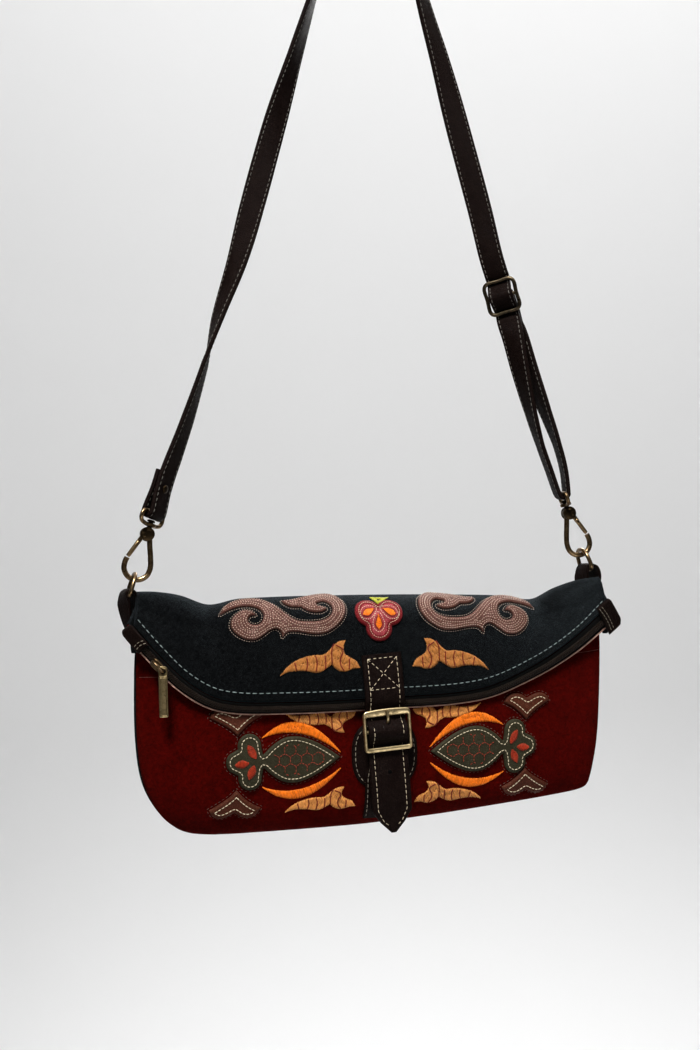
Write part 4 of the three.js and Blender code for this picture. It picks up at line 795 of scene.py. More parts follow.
def smooth_line(points, per_span, closed=False):
    """Points on a smooth curve through the given ones, with no overshoot where they are uneven."""
    points = np.asarray(points, float)
    if closed:
        full = np.concatenate([points[-1:], points, points[:2]])
    else:
        full = np.concatenate([2 * points[:1] - points[1:2], points, 2 * points[-1:] - points[-2:-1]])
    made = []
    share = (np.arange(per_span) / per_span)[:, None]
    for p0, p1, p2, p3 in zip(full, full[1:], full[2:], full[3:]):
        a, b, c = (max(math.sqrt(np.linalg.norm(q - p)), 1e-4) for p, q in ((p0, p1), (p1, p2), (p2, p3)))
        leave = ((p1 - p0) / a - (p2 - p0) / (a + b) + (p2 - p1) / b) * b
        arrive = ((p2 - p1) / b - (p3 - p1) / (b + c) + (p3 - p2) / c) * b
        t, t2, t3 = share, share**2, share**3
        made.append(
            p1 * (2 * t3 - 3 * t2 + 1) + leave * (t3 - 2 * t2 + t)
            + p2 * (3 * t2 - 2 * t3) + arrive * (t3 - t2)
        )
    if not closed:
        made.append(full[-2:-1])
    return np.concatenate(made)


def strap_section(width, thickness, crown=0.12, sunk=0.14, stitch_in=2.0):
    """A leather strip in section: rounded edges, a groove under each stitch line, a low crown between."""
    half, thin = width / 2, thickness / 2
    upper = [(-half, 0.0), (-half + 0.12, thin * 0.6), (-half + 0.5, thin), (-half + stitch_in - 0.7, thin)]
    upper += [
        (-half + stitch_in, thin - sunk), (-half + stitch_in + 0.8, thin + crown * 0.4), (0.0, thin + crown)
    ]
    upper += [(-x, y) for x, y in upper[-2:0:-1]] + [(half, 0.0)]
    lower = [(x, -y) for x, y in upper[-2:0:-1]]
    return np.array((upper + lower)[::-1])


def along_zip(end, out):
    """The way out along the zip at one of its ends."""
    return unit(upper_edge(end) - upper_edge(end - out * 0.01))


def zip_tab_line(tab):
    """The middle of a strip over the zip's end, laid along the tape and turned down round its tip."""
    reach = np.array((-tab["cover"], -tab["cover"] / 2) + ZIP_TAB_ROUTE["reach"])
    lift = np.array((1.9, 2.05) + ZIP_TAB_ROUTE["lift"])
    foot = on_zip(np.full(len(reach), tab["end"]), np.full(len(reach), 0.5), lift)
    end = np.array(tab["end"])
    shift = unit(lower_edge(end) - upper_edge(end)) * tab["shift"]
    return smooth_line(foot + shift + along_zip(tab["end"], tab["out"]) * reach[:, None], 4)


def on_zip_tab(tab):
    """A place on a tab by the distance across it, along it and a lift off it."""
    end = np.array(tab["end"])
    across = unit(lower_edge(end) - upper_edge(end))
    along = along_zip(tab["end"], tab["out"])
    outward = unit(np.cross(across, along)) * tab["out"]
    middle = on_zip(end, np.array(0.5), np.array(2.0 + LEATHER / 2)) + across * tab["shift"]

    def place(x, reach, lift):
        flat = middle + x[..., None] * across + reach[..., None] * along
        return flat + np.asarray(lift)[..., None] * outward

    return place


dim_thread = thread("dim_thread", DIM_CREAM)
for label, tab in ZIP_TABS.items():
    tab_line = zip_tab_line(tab)
    tab_across = unit(lower_edge(np.array(tab["end"])) - upper_edge(np.array(tab["end"])))
    tab_facing = np.cross(np.gradient(tab_line, axis=0), tab_across * -tab["out"])
    beyond = np.clip((spaced(0, 1, len(tab_line)) - 0.15) / 0.85, 0, 1)
    tab_width = tab["width"] / ZIP_TABS["left"]["width"] * (1 - tab["rounding"] * beyond**2)
    tab_section = strap_section(ZIP_TABS["left"]["width"], LEATHER, 0.05, 0.05, 1.2)
    piece(
        f"zip_tab_{label}", swept(tab_line, tab_section, tab_facing, tab_width), dark_leather,
        [f"zip_end_{label}"]
    )
    rows = []
    for at in tab["stitch_at"]:
        x = spaced(-0.42, 0.42, 30) * tab["width"]
        bowed = at + 1.2 * (1 - (2 * x / tab["width"]) ** 2)
        rows.append(stitch_run(np.stack([x, bowed], 1), on_zip_tab(tab), TAB_STITCH))
    piece(f"zip_tab_stitches_{label}", joined(*rows), dim_thread)

# The zip's slider and pull, cast in brass and darkened: a plate over the teeth with an arched crown, and a
# flat bar with a sunk panel that swings on the crown's lower end.
SLIDER = {"share": 0.06, "length": 9, "width": 6, "thickness": 1.8, "clear": 1.6}
SLIDER_REACH = (-0.5, -0.47, -0.38, -0.2, 0.0, 0.2, 0.38, 0.47, 0.5)
SLIDER_WIDE = (0.5, 0.66, 0.86, 1.0, 0.94, 0.9, 0.84, 0.72, 0.55)
SLIDER_THICK = (0.45, 0.75, 0.95, 1, 1, 1, 0.95, 0.75, 0.45)
CROWN = {"radius": 4, "bar": 1.8, "lift": 3.6}
PULL = {
    "width": 5.2, "thickness": 1.4, "length": 29, "above_hole": 2.9, "hole": 1.6, "panel": 21, "rim": 1.2
}
BRASS_BRIGHT = (0.3, 0.21, 0.115)
BRASS_DULL = (0.09, 0.06, 0.034)
BRASS_DARK = (0.02, 0.014, 0.009)
WORN_BRIGHT = (0.58, 0.46, 0.27)
WORN_DULL = (0.3, 0.235, 0.13)
WORN_DARK = (0.09, 0.066, 0.04)
PULL_BRIGHT = (0.42, 0.33, 0.18)
PULL_DULL = (0.19, 0.145, 0.08)
PULL_DARK = (0.04, 0.029, 0.018)
crown_run = np.array([math.sqrt(0.5), 0, -math.sqrt(0.5)])


def aged_brass():
    """Antiqued brass: dark patina in the hollows and in clouds, bright metal where edges are rubbed."""
    inputs = (
        ("Bright", "Color", (0.5, 0.4, 0.2, 1)), ("Dull", "Color", (0.2, 0.15, 0.1, 1)),
        ("Dark", "Color", (0.05, 0.04, 0.03, 1)), ("Gloss", "Float", 0.3),
    )
    tree, given, result = shader_group("aged_brass", inputs, GLOSSY_LOOK)
    place = node(tree, "TexCoord").outputs["Object"]
    clouds = noise(tree, place, 230, 5, 0.65)
    scratches = noise(tree, drawn_out(tree, place, (1, 1, 7)), 900, 3)
    edge = spread(tree, node(tree, "NewGeometry").outputs["Pointiness"], 0.46, 0.56)
    metal = blended(tree, spread(tree, clouds, 0.35, 0.65), given["Dull"], given["Bright"])
    rubbed = spread(tree, counted(tree, "ADD", edge, spread(tree, clouds, 0.3, 0.7, -0.2, 0.35)), 0.15, 0.6)
    tree.links.new(blended(tree, rubbed, given["Dark"], metal), result["Color"])
    rough = counted(tree, "ADD", given["Gloss"], spread(tree, clouds, 0.3, 0.7, 0.16, -0.06))
    tree.links.new(rough, result["Roughness"])
    relief = counted(tree, "ADD", clouds, counted(tree, "MULTIPLY", scratches, 0.5))
    tree.links.new(relief, result["Height"])
    return tree


AGED_BRASS = aged_brass()


def brass_look(name, bright, dull, dark, gloss):
    values = {"Bright": (*bright, 1), "Dull": (*dull, 1), "Dark": (*dark, 1), "Gloss": gloss}
    return surface(name, gloss, AGED_BRASS, values, 0.12, 0.0004, Metallic=1.0)


brass = brass_look("antique_brass", BRASS_BRIGHT, BRASS_DULL, BRASS_DARK, gloss=0.28)
worn_brass = brass_look("worn_brass", WORN_BRIGHT, WORN_DULL, WORN_DARK, gloss=0.34)
pull_brass = brass_look("pull_brass", PULL_BRIGHT, PULL_DULL, PULL_DARK, gloss=0.3)


def bar(points, diameter, facing, per_span=6, sides=14, closed=False):
    """A round bar on a smooth curve through points that lie square to one direction."""
    line = smooth_line(points, per_span, closed)
    return swept(line, round_section(sides), facing, diameter / 2, diameter / 2, closed)


def turned(centre, axis, profile, sides=28):
    """A round body on an axis, from rows of height along the axis and radius."""
    height, radius = np.array(profile, float).T
    axis = unit(np.asarray(axis, float))
    line = np.asarray(centre, float) + height[:, None] * axis
    facing = TO_RIGHT if abs(axis[0]) < 0.7 else TO_BACK
    return swept(line, round_section(sides), facing, radius, radius)


def rounded_disc(height, radius, soft=0.4):
    """The profile of a disc with softened rims, for turning."""
    half = height / 2
    return [(-half, radius - soft), (-half + soft * 0.3, radius - soft * 0.3), (-half + soft, radius),
            (half - soft, radius), (half - soft * 0.3, radius - soft * 0.3), (half, radius - soft)]


def box_section(width, thickness, corner, per_corner=4):
    points = []
    for quarter, (x, y) in enumerate(((1, 1), (-1, 1), (-1, -1), (1, -1))):
        for step in range(per_corner):
            turn = (quarter + step / (per_corner - 1)) * math.pi / 2
            wide_at = x * (width / 2 - corner) + corner * math.cos(turn)
            high_at = y * (thickness / 2 - corner) + corner * math.sin(turn)
            points.append((wide_at, high_at))
    return np.array(points)


def rounded_rectangle(half_width, low, high, corner, per_corner=6, per_side=6):
    """An upright rectangle's outline with rounded corners, going round from its upper right corner."""
    made = []
    for quarter, (x, top) in enumerate(((1, True), (-1, True), (-1, False), (1, False))):
        centre = (x * (half_width - corner), high - corner if top else low + corner)
        for step in range(per_corner):
            turn = (quarter + step / (per_corner - 1)) * math.pi / 2
            made.append((centre[0] + corner * math.cos(turn), centre[1] + corner * math.sin(turn)))
    made = np.array(made)
    filled = []
    for start, end in zip(made, np.roll(made, -1, axis=0)):
        long_side = np.linalg.norm(end - start) > corner * 0.9
        count = per_side if long_side else 1
        filled.extend(mix(start, end, step / count) for step in range(count))
    return np.array(filled)


def framed(outer, inner, thickness, place, around=16, squareness=0.55):
    """A frame between two matching outlines, its bars rounded, placed by two measures and a lift."""
    turn = 2 * np.pi * np.arange(around) / around
    flat = np.sign(np.cos(turn)) * np.abs(np.cos(turn)) ** squareness
    lift = np.sign(np.sin(turn)) * np.abs(np.sin(turn)) ** squareness * thickness / 2
    spots = (outer + inner)[:, None] / 2 + (outer - inner)[:, None] / 2 * flat[None, :, None]
    points = place(spots[..., 0], spots[..., 1], np.broadcast_to(lift, spots.shape[:2]))
    many = len(outer)
    i, k = np.meshgrid(np.arange(many), np.arange(around), indexing="ij")
    ahead, beside = (i + 1) % many, (k + 1) % around
    quads = np.stack([i * around + k, ahead * around + k, ahead * around + beside, i * around + beside], -1)
    return points.reshape(-1, 3), quads.reshape(-1, 4).tolist()


def slider_plate():
    share, middle = np.array(SLIDER["share"]), np.array(0.5)
    centre = on_zip(share, middle, np.array(SLIDER["clear"] + SLIDER["thickness"] / 2))
    facing = unit(on_zip(share, middle, np.array(2.0)) - on_zip(share, middle, np.array(1.0)))
    along = unit(upper_edge(share + 0.004) - upper_edge(share - 0.004))
    reach = np.array(SLIDER_REACH) * SLIDER["length"]
    line = centre + reach[:, None] * along
    section = box_section(SLIDER["width"], SLIDER["thickness"], 0.5)
    plate = swept(line, section, facing, SLIDER_WIDE, SLIDER_THICK)
    return plate, centre, along


plate, plate_centre, plate_along = slider_plate()
slider_top = on_zip(
    np.array(SLIDER["share"]), np.array(0.5), np.array(SLIDER["clear"] + SLIDER["thickness"])
)
crown_centre = slider_top + np.array([0, -CROWN["lift"], 0])
pull_hole = crown_centre + crown_run * CROWN["radius"]


def slider_crown():
    radius = CROWN["radius"]
    feet = [plate_centre + plate_along * side * (radius - 0.6) for side in (1, -1)]
    legs = [crown_centre + crown_run * side * radius + np.array([0, 1.6, 0]) for side in (1, -1)]
    turn = np.pi * spaced(0, 1, 13)
    along_arch = crown_run * radius * np.cos(turn)[:, None]
    arch = crown_centre + along_arch + np.array([0, -radius, 0]) * np.sin(turn)[:, None]
    return bar([feet[0], legs[0], *arch, legs[1], feet[1]], CROWN["bar"], np.array([0.7071, 0, 0.7071]), 3)


def on_pull(x, z, lift):
    return pull_hole + xyz(x, -lift, z)


def zip_pull():
    low, half = PULL["above_hole"] - PULL["length"], PULL["width"] / 2
    neck = low + PULL["panel"] + 2 * PULL["rim"]
    rim = rounded_rectangle(half, low, neck, 0.8)
    window = rounded_rectangle(half - PULL["rim"], low + PULL["rim"], neck - PULL["rim"], 0.35)
    head = rounded_rectangle(half, neck - 0.6, PULL["above_hole"], 1.5)
    hole = unit(head) * PULL["hole"]
    panel_line = np.array([[0, 0, low + 0.8], [0, 0, (low + neck) / 2], [0, 0, neck - 0.8]]) + pull_hole
    panel = swept(panel_line, box_section(PULL["width"] - PULL["rim"], 0.7, 0.2), TO_FRONT)
    frame_shape = framed(rim, window, PULL["thickness"], on_pull)
    return joined(frame_shape, framed(head, hole, PULL["thickness"], on_pull), panel)


piece("zip_slider_cast", joined(plate, slider_crown()), brass, ["zip_slider"], sharp=50)
piece("zip_pull_bar", zip_pull(), pull_brass, ["zip_pull"], body="zip_pull", sharp=60)

# The ornament on the flap: two padded mauve leather scrolls and a rose leather trefoil, cut out and sewn
# down along their edges with fine cream thread, with an embroidered green calyx above the trefoil and an
# embroidered ochre horn on each side.
SCROLL = [
    (-96, 14), (-91.6, 9), (-79.1, 6.6), (-71.5, 8.3), (-65.7, 12.3), (-55.2, 21.7), (-49.6, 24),
    (-37.1, 24.1), (-32.1, 21.7), (-30.2, 18.1), (-31.5, 14.3), (-35, 12), (-39.4, 13.4), (-39, 15.1),
    (-33.8, 17.5), (-36.4, 19.2), (-40.5, 19.4), (-44.9, 18.3), (-48.7, 15.6), (-54.9, 14.9), (-58.4, 12.3),
    (-59.2, 9.9), (-53.2, 9.6), (-38.7, 4.8), (-31, 3.9), (-25.5, 8.7), (-22.8, 14.4), (-22.6, 19.2),
    (-24.4, 23.6), (-28.7, 27.8), (-34.9, 31.4), (-41.5, 32), (-54.5, 29.7), (-58.5, 30.2), (-61.3, 32.9),
    (-61.8, 29.7), (-64.3, 27.5), (-67.6, 28), (-72.4, 31.1), (-76.9, 33.2), (-82.5, 32.4), (-87.8, 28.1),
    (-90.5, 22.8), (-89.7, 19), (-86.3, 16.7), (-81.9, 15.8), (-78.3, 16.8), (-76, 19.3), (-79.2, 19.5),
    (-81, 21.7), (-79.6, 23.8), (-75.9, 24.7), (-72.6, 22.9), (-71.5, 19.5), (-73.6, 15.8), (-78.4, 13.4),
    (-84, 12.8), (-90, 13),
]
SCROLL_CORNERS = (0, 12, 13, 18, 21, 34, 47)
PADDED = {"thickness": 1.7, "soft": 0.8}
SCROLL_STITCH = {"length": 0.62, "gap": 0.85, "thread": 0.2}
SCROLL_INSETS = (1.1, 2.5, 3.9, 5.3)
SCROLL_OUTSET = -0.9
FLOWER_LOBES = {"x": (-9.3, 3.9, -3.4), "down": (20.8, 20.9, 30), "radius": 7.9}
FLOWER_CENTRE = (-2.8, -23.9)
FLOWER_STITCH = {"length": 0.65, "gap": 0.7, "thread": 0.21}
FLOWER_INSET = 2.2
FLOWER_PETALS = (
    ((-5.4, -19.4), (-12.8, -22.7)), ((-0.6, -19.5), (7.3, -22.8)), ((-3.6, -22.5), (-3.8, -31)),
)
FLOWER_HEART = {"inset": 2.6, "lift": 0.12}
PETAL = {"width": 4.1, "skew": 1.4}
PETAL_OUTSET = -1.5
CALYX = [
    (-5.8, -8.9), (5.8, -9.2), (-1.8, -15.8), (-5.8, -8.9), (-2.2, -10.6), (-1.3, -13), (0.9, -10.7),
    (-2.2, -10.6),
]
HORN = [
    (0, 0), (3.8, 4.2), (8.8, 7.5), (15.4, 9.7), (20.8, 10.4), (25.8, 10.3), (28.9, 12.3), (32.1, 15.5),
    (35.7, 17.5), (39.7, 18), (38.2, 14.4), (38.5, 10.5), (41.1, 8.2), (45, 5.9), (47.3, 1.9), (43.3, 1.5),
    (39.8, 0.4), (35.8, 0.6), (32.9, 2.2), (30.7, 4.7), (27.9, 2.8), (23.4, 0.6), (19.9, 0.7), (15.5, 1.8),
    (9.6, 2.2), (4.7, 1.8),
]
HORN_CORNERS = (0, 9, 14, 19)
HORN_VEINS = (
    ((8.6, 7), (9.6, 2.2)), ((15.9, 9.5), (16.2, 5.6), (15.2, 1.8)), ((21.1, 10.1), (21.9, 6.7), (21.1, 1)),
    ((26.8, 10), (27, 5.5), (26.6, 2.1)), ((32.6, 16.4), (31.2, 13.9), (30.7, 4.7)),
    ((33.6, 15.6), (37.4, 13), (37.3, 10.6), (35.9, 7.8), (35.9, 4), (37.8, 0.5)),
    ((41.1, 7.3), (41.2, 4.6), (40.8, 1.3)),
)
FLAP_HORN = {"tip": (-63.5, -54.6), "scale": (1.0, 1.0)}
VEIN = {"wide": 0.36, "high": 0.24, "lift": 0.74}
MAUVE = (0.12, 0.056, 0.043)
MAUVE_RUBBED = (0.26, 0.155, 0.135)
SCROLL_CREAM = (0.46, 0.36, 0.29)
ROSE = (0.16, 0.014, 0.017)
ROSE_RUBBED = (0.3, 0.05, 0.055)
HEART = (0.3, 0.05, 0.06)
HEART_RUBBED = (0.48, 0.15, 0.16)
OCHRE = (0.38, 0.16, 0.042)
VEIN_RED = (0.14, 0.016, 0.008)
ORANGE = (0.7, 0.175, 0.009)
LEAF_GREEN = (0.36, 0.36, 0.035)
SATIN = {"pitch": 0.46, "thread": 0.27, "longest": 6, "overlap": 0.35}
SATIN_GIRTH = (0.6, 0.95, 1, 1, 0.95, 0.6)
EMBROIDERY_SEED = 7


def smooth_outline(points, corners, per_span=8):
    """A closed outline on smooth curves between its sharp corners."""
    points = np.asarray(points, float)
    if not corners:
        return smooth_line(points, per_span, closed=True)
    rolled = np.roll(points, -corners[0], axis=0)
    stops = [corner - corners[0] for corner in corners] + [len(points)]
    rolled = np.concatenate([rolled, rolled[:1]])
    return np.concatenate([smooth_line(rolled[a:b + 1], per_span)[:-1] for a, b in zip(stops, stops[1:])])


def turned_left(outline):
    """The outline going round anticlockwise."""
    x, y = outline[:, 0], outline[:, 1]
    area = np.sum(x * np.roll(y, -1) - np.roll(x, -1) * y)
    return outline if area > 0 else outline[::-1]


def resampled(outline, spacing):
    full = np.concatenate([outline, outline[:1]])
    along = length_along(full)
    count = max(int(along[-1] / spacing), 8)
    at = spaced(0, along[-1], count + 1)[:-1]
    return np.stack([np.interp(at, along, full[:, 0]), np.interp(at, along, full[:, 1])], 1)


def inside_of(outline, points):
    x, y = points[:, :1], points[:, 1:]
    x1, y1 = outline[:, 0], outline[:, 1]
    x2, y2 = np.roll(x1, -1), np.roll(y1, -1)
    crosses = (y1 > y) != (y2 > y)
    with np.errstate(divide="ignore", invalid="ignore"):
        at = x1 + (y - y1) / (y2 - y1) * (x2 - x1)
    return np.sum(crosses & (x < at), axis=1) % 2 == 1


def distance_to(outline, points):
    """The distance of each point from a closed outline."""
    start, end = outline, np.roll(outline, -1, axis=0)
    span = end - start
    offset = points[:, None] - start
    share = np.clip(np.sum(offset * span, -1) / np.maximum(np.sum(span * span, -1), 1e-9), 0, 1)
    return np.min(np.linalg.norm(offset - share[..., None] * span, axis=-1), axis=1)


def cut_out(outline, place, thickness, spacing=0.9, soft=0.7):
    """A thin piece cut to an outline and laid on a surface, with softened edges."""
    outline = turned_left(resampled(outline, spacing * 0.6))
    low, high = outline.min(0), outline.max(0)
    x, y = np.meshgrid(np.arange(low[0], high[0], spacing), np.arange(low[1], high[1], spacing * 0.866))
    x = x + (np.arange(len(x)) % 2)[:, None] * spacing / 2
    inner = np.stack([x.ravel(), y.ravel()], 1)
    inner = inner[inside_of(outline, inner)]
    inner = inner[distance_to(outline, inner) > spacing * 0.45]
    count = len(outline)
    border = [(i, (i + 1) % count) for i in range(count)]
    flat = [Vector(point) for point in np.concatenate([outline, inner])]
    spots, _, triangles, *_ = delaunay_2d_cdt(flat, border, [], 1, 1e-5)
    spots = np.array([tuple(spot) for spot in spots])
    triangles = np.array([list(triangle) for triangle in triangles])
    a, b, c = (spots[triangles[:, k]] for k in range(3))
    backward = (b - a)[:, 0] * (c - a)[:, 1] - (b - a)[:, 1] * (c - a)[:, 0] < 0
    triangles[backward] = triangles[backward][:, ::-1]
    depth = np.clip(distance_to(outline, spots) / soft, 0, 1)
    top = place(spots[:, 0], spots[:, 1], thickness * (0.5 + 0.5 * np.sqrt(1 - (1 - depth) ** 2)))
    under = place(spots[:, 0], spots[:, 1], 0.05)
    edges = np.concatenate([triangles[:, [0, 1]], triangles[:, [1, 2]], triangles[:, [2, 0]]])
    known = {(int(i), int(j)) for i, j in edges}
    rim = [(i, j) for i, j in known if (j, i) not in known]
    shift = len(spots)
    sides = [[j, i, i + shift, j + shift] for i, j in rim]
    faces = triangles.tolist() + (triangles[:, ::-1] + shift).tolist() + sides
    return np.concatenate([top, under]), faces


def padded(outline, place, pad):
    return cut_out(outline, place, pad["thickness"], soft=pad["soft"])


def inset_paths(outline, inset, shortest=3.0):
    """Lines at a steady distance inside an outline, or outside it where the inset is negative."""
    outline = turned_left(resampled(outline, 0.35))
    run = unit(np.roll(outline, -1, axis=0) - np.roll(outline, 1, axis=0))
    moved = outline + np.stack([-run[:, 1], run[:, 0]], 1) * inset
    clear = distance_to(outline, moved) > abs(inset) * 0.93
    if clear.all():
        return [np.concatenate([moved, moved[:1]])]
    first = int(np.argmin(clear))
    moved, clear = np.roll(moved, -first, axis=0), np.roll(clear, -first)
    breaks = np.flatnonzero(np.diff(clear.astype(int))) + 1
    runs = zip(np.split(moved, breaks), np.split(clear, breaks))
    kept = [run for run, good in runs if good[0]]
    return [run for run in kept if len(run) > 2 and length_along(run)[-1] > shortest]


def sewn_along(outline, place, insets, stitch, lift):
    """Stitches on every line that follows an outline at the given insets."""
    return joined(
        *(stitch_run(path, place, stitch, lift) for inset in insets for path in inset_paths(outline, inset))
    )


def satin(outline, place, angle, lift, dice, settings=SATIN, crown=0.35):
    """Embroidery that fills an outline with close threads at one angle, uneven in place and length."""
    outline = turned_left(resampled(outline, 0.5))
    turn = np.array([[math.cos(angle), -math.sin(angle)], [math.sin(angle), math.cos(angle)]])
    level = outline @ turn
    ends = []
    for row in np.arange(level[:, 1].min() + 0.1, level[:, 1].max(), settings["pitch"]):
        start, end = level, np.roll(level, -1, axis=0)
        hit = (start[:, 1] > row) != (end[:, 1] > row)
        share = (row - start[hit, 1]) / (end[hit, 1] - start[hit, 1])
        found = np.sort(start[hit, 0] + share * (end[hit, 0] - start[hit, 0]))
        for low, high in zip(found[::2], found[1::2]):
            parts = max(int(math.ceil((high - low) / settings["longest"])), 1)
            shift = dice.uniform(-0.3, 0.3) if parts > 1 else 0.0
            count = np.arange(parts + 1)
            stops = mix(low, high, np.clip((count + shift * (count % parts > 0)) / parts, 0, 1))
            ends.extend((a, b, row) for a, b in zip(stops, stops[1:]))
    ends = np.array(ends)
    slack = dice.uniform(0.1, settings["overlap"], (len(ends), 2))
    share = spaced(0, 1, 6)
    along = mix(ends[:, :1] - slack[:, :1], ends[:, 1:2] + slack[:, 1:], share)
    row = ends[:, 2:] + dice.uniform(-0.12, 0.12, (len(ends), 1)) + np.zeros(6)
    spots = np.stack([along, row], -1) @ turn.T
    uneven = dice.uniform(-0.13, 0.13, (len(ends), 1))
    rise = lift + crown * np.sqrt(np.clip(4 * share * (1 - share), 0, 1)) + uneven
    lines = place(spots[..., 0], spots[..., 1], rise)
    facing = place(spots[..., 0], spots[..., 1], rise + 1) - lines
    girth = settings["thread"] * np.array(SATIN_GIRTH)
    return swept(lines, round_section(5), facing, girth, girth * 0.8)


def flower_outline():
    turn = spaced(0, 2 * np.pi, 121)[:-1]
    way = np.stack([np.cos(turn), np.sin(turn)], 1)
    reaches = []
    for x, down in zip(FLOWER_LOBES["x"], FLOWER_LOBES["down"]):
        centre = np.array([x, -down]) - FLOWER_CENTRE
        off = centre[0] * way[:, 1] - centre[1] * way[:, 0]
        reaches.append(way @ centre + np.sqrt(FLOWER_LOBES["radius"] ** 2 - off**2))
    return np.array(FLOWER_CENTRE) + way * np.max(reaches, axis=0)[:, None]


def petal(start, end, width, skew=1.0):
    """A pointed petal between two points, fattest towards its end where the skew is more than 1."""
    start, end = np.array(start, float), np.array(end, float)
    share = spaced(0, 1, 17)
    half = width / 2 * np.sin(np.pi * share**skew) ** 0.75
    run = end - start
    beside = np.array([-run[1], run[0]]) / np.linalg.norm(run)
    middle = start + share[:, None] * run
    return np.concatenate([middle + half[:, None] * beside, (middle - half[:, None] * beside)[-2:0:-1]])


def across_petal(start, end):
    """The angle at which threads cross a petal, a little off square."""
    return math.atan2(end[1] - start[1], end[0] - start[0]) + math.radians(75)


def flipped(outline, side):
    return np.asarray(outline, float) * np.array([side, 1.0])


def horn_spots(points, horn, side):
    """Points of a horn, set out from the place of its tip."""
    return flipped(np.array(points, float) * horn["scale"] + horn["tip"], side)


def couched_line(path, place, lift, closed=True):
    """A line of couched thread along a path."""
    line = place(path[:, 0], path[:, 1], lift)
    facing = place(path[:, 0], path[:, 1], lift + 1.0) - line
    return swept(line, round_section(6), facing, VEIN["wide"], VEIN["high"], closed)


def horn_veins(horn, side, place):
    """Curved lines of couched thread across a horn."""
    paths = [smooth_line(horn_spots(vein, horn, side), 6) for vein in HORN_VEINS]
    return joined(*(couched_line(path, place, VEIN["lift"], False) for path in paths))


dice = np.random.default_rng(EMBROIDERY_SEED)
mauve = leather("mauve_leather", MAUVE, MAUVE_RUBBED, pebble=850.0, wear=0.75, gloss=0.5, bump=0.5)
rose = leather("rose_leather", ROSE, ROSE_RUBBED, pebble=1000.0, wear=0.7, gloss=0.5, bump=0.5)
rose_heart = leather(
    "rose_heart_leather", HEART, HEART_RUBBED,
    pebble=1000.0, wear=0.8, gloss=0.5, bump=0.5,
)
scroll_thread = thread("scroll_thread", SCROLL_CREAM)
ochre_thread = thread("ochre_thread", OCHRE, 0.5)
orange_thread = thread("orange_thread", ORANGE, 0.45)
vein_thread = thread("vein_thread", VEIN_RED)
leaf_thread = thread("leaf_thread", LEAF_GREEN, 0.5)
for side, label in ((1, "left"), (-1, "right")):
    scroll = flipped(smooth_outline(np.array(SCROLL) * (1, -1), SCROLL_CORNERS), side)
    pad = padded(scroll, on_flap, PADDED)
    piece(f"scroll_leather_{label}", pad, mauve, [f"scroll_{label}"])
    stitches = sewn_along(scroll, on_flap, SCROLL_INSETS, SCROLL_STITCH, PADDED["thickness"])
    outside = sewn_along(scroll, on_flap, (SCROLL_OUTSET,), SCROLL_STITCH, 0.0)
    piece(f"scroll_stitches_{label}", joined(stitches, outside), scroll_thread)
    horn = smooth_outline(horn_spots(HORN, FLAP_HORN, side), HORN_CORNERS)
    piece(
        f"flap_horn_{label}", satin(horn, on_flap, side * math.radians(65), 0.15, dice), ochre_thread,
    )
    piece(f"flap_horn_veins_{label}", horn_veins(FLAP_HORN, side, on_flap), vein_thread)
flower = flower_outline()
heart = inset_paths(flower, FLOWER_HEART["inset"])[0][:-1]
heart_top = PADDED["thickness"] + FLOWER_HEART["lift"]
petals = [petal(start, end, **PETAL) for start, end in FLOWER_PETALS]
piece("flower_leather", padded(flower, on_flap, PADDED), rose, ["flower"])
piece("flower_heart", cut_out(heart, on_flap, heart_top, soft=0.4), rose_heart)
flower_rows = [sewn_along(flower, on_flap, (FLOWER_INSET,), FLOWER_STITCH, heart_top)]
for outline in petals:
    flower_rows.append(sewn_along(outline, on_flap, (PETAL_OUTSET,), FLOWER_STITCH, heart_top))
piece("flower_stitches", joined(*flower_rows), cream_thread)
flower_petals = [
    satin(outline, on_flap, across_petal(*ends), heart_top, dice)
    for outline, ends in zip(petals, FLOWER_PETALS)
]
piece("flower_petals", joined(*flower_petals), orange_thread)
couched = [couched_line(outline, on_flap, heart_top + 0.3) for outline in petals]
piece("flower_petal_outlines", joined(*couched), vein_thread)
piece(
    "flower_calyx", satin(np.array(CALYX), on_flap, math.radians(60), 0.15, dice), leaf_thread,
)

# The ornament on the red front: on each side a grey-olive leather pomegranate between two orange crescents,
# a brown leather leaf in each corner, and ochre horns above and below, all sewn or embroidered onto the
# felt.
POMEGRANATE_Z = -94
POMEGRANATE_BODY = [(27.5, 0), (35, 5.4), (44, 10.6), (53, 13.5), (60.5, 13), (68, 8.8), (73.5, 3.7)]
SIDE_LOBE = {"x": 81.3, "y": 9.4, "radius": 6.9, "from": 185, "to": -15}
END_LOBE = {"x": 88.4, "y": 0, "radius": 6.7, "from": 52, "to": 0}
FRUIT_PAD = {"thickness": 1.8, "soft": 0.9}
POMEGRANATE_STITCH = {"length": 1.6, "gap": 0.65, "thread": 0.25}
POMEGRANATE_INSET = 2.3
OUTLINE_STITCH = {"length": 1.5, "gap": 1.1, "thread": 0.15}
OUTLINE_OUTSET = -1.0
SEED_STITCH = {"length": 1.4, "gap": 0.5, "thread": 0.25}
SEED_CELL = {"width": 6.7, "from": 27.5, "clear": 4.0, "shortest": 1.6}
LOBE_PETALS = (((82.4, 9.7), (77.9, 1.8)), ((90, -1.3), (82.1, -0.5)), ((78.9, -1.9), (82.2, -9.6)))
LOBE_PETAL_WIDTH = 4.2
CORNER_LEAF = [
    (-15.2, -0.8), (-8.9, 2.6), (-3.1, 6.4), (0.7, 10.1), (5.3, 5.2), (9.9, 1.6), (15, -1), (12.1, -4.7),
    (8.3, -6.2), (3.7, -5.6), (-0.4, -3), (-4.7, -5), (-9.2, -5.8), (-13.1, -4.2),
]
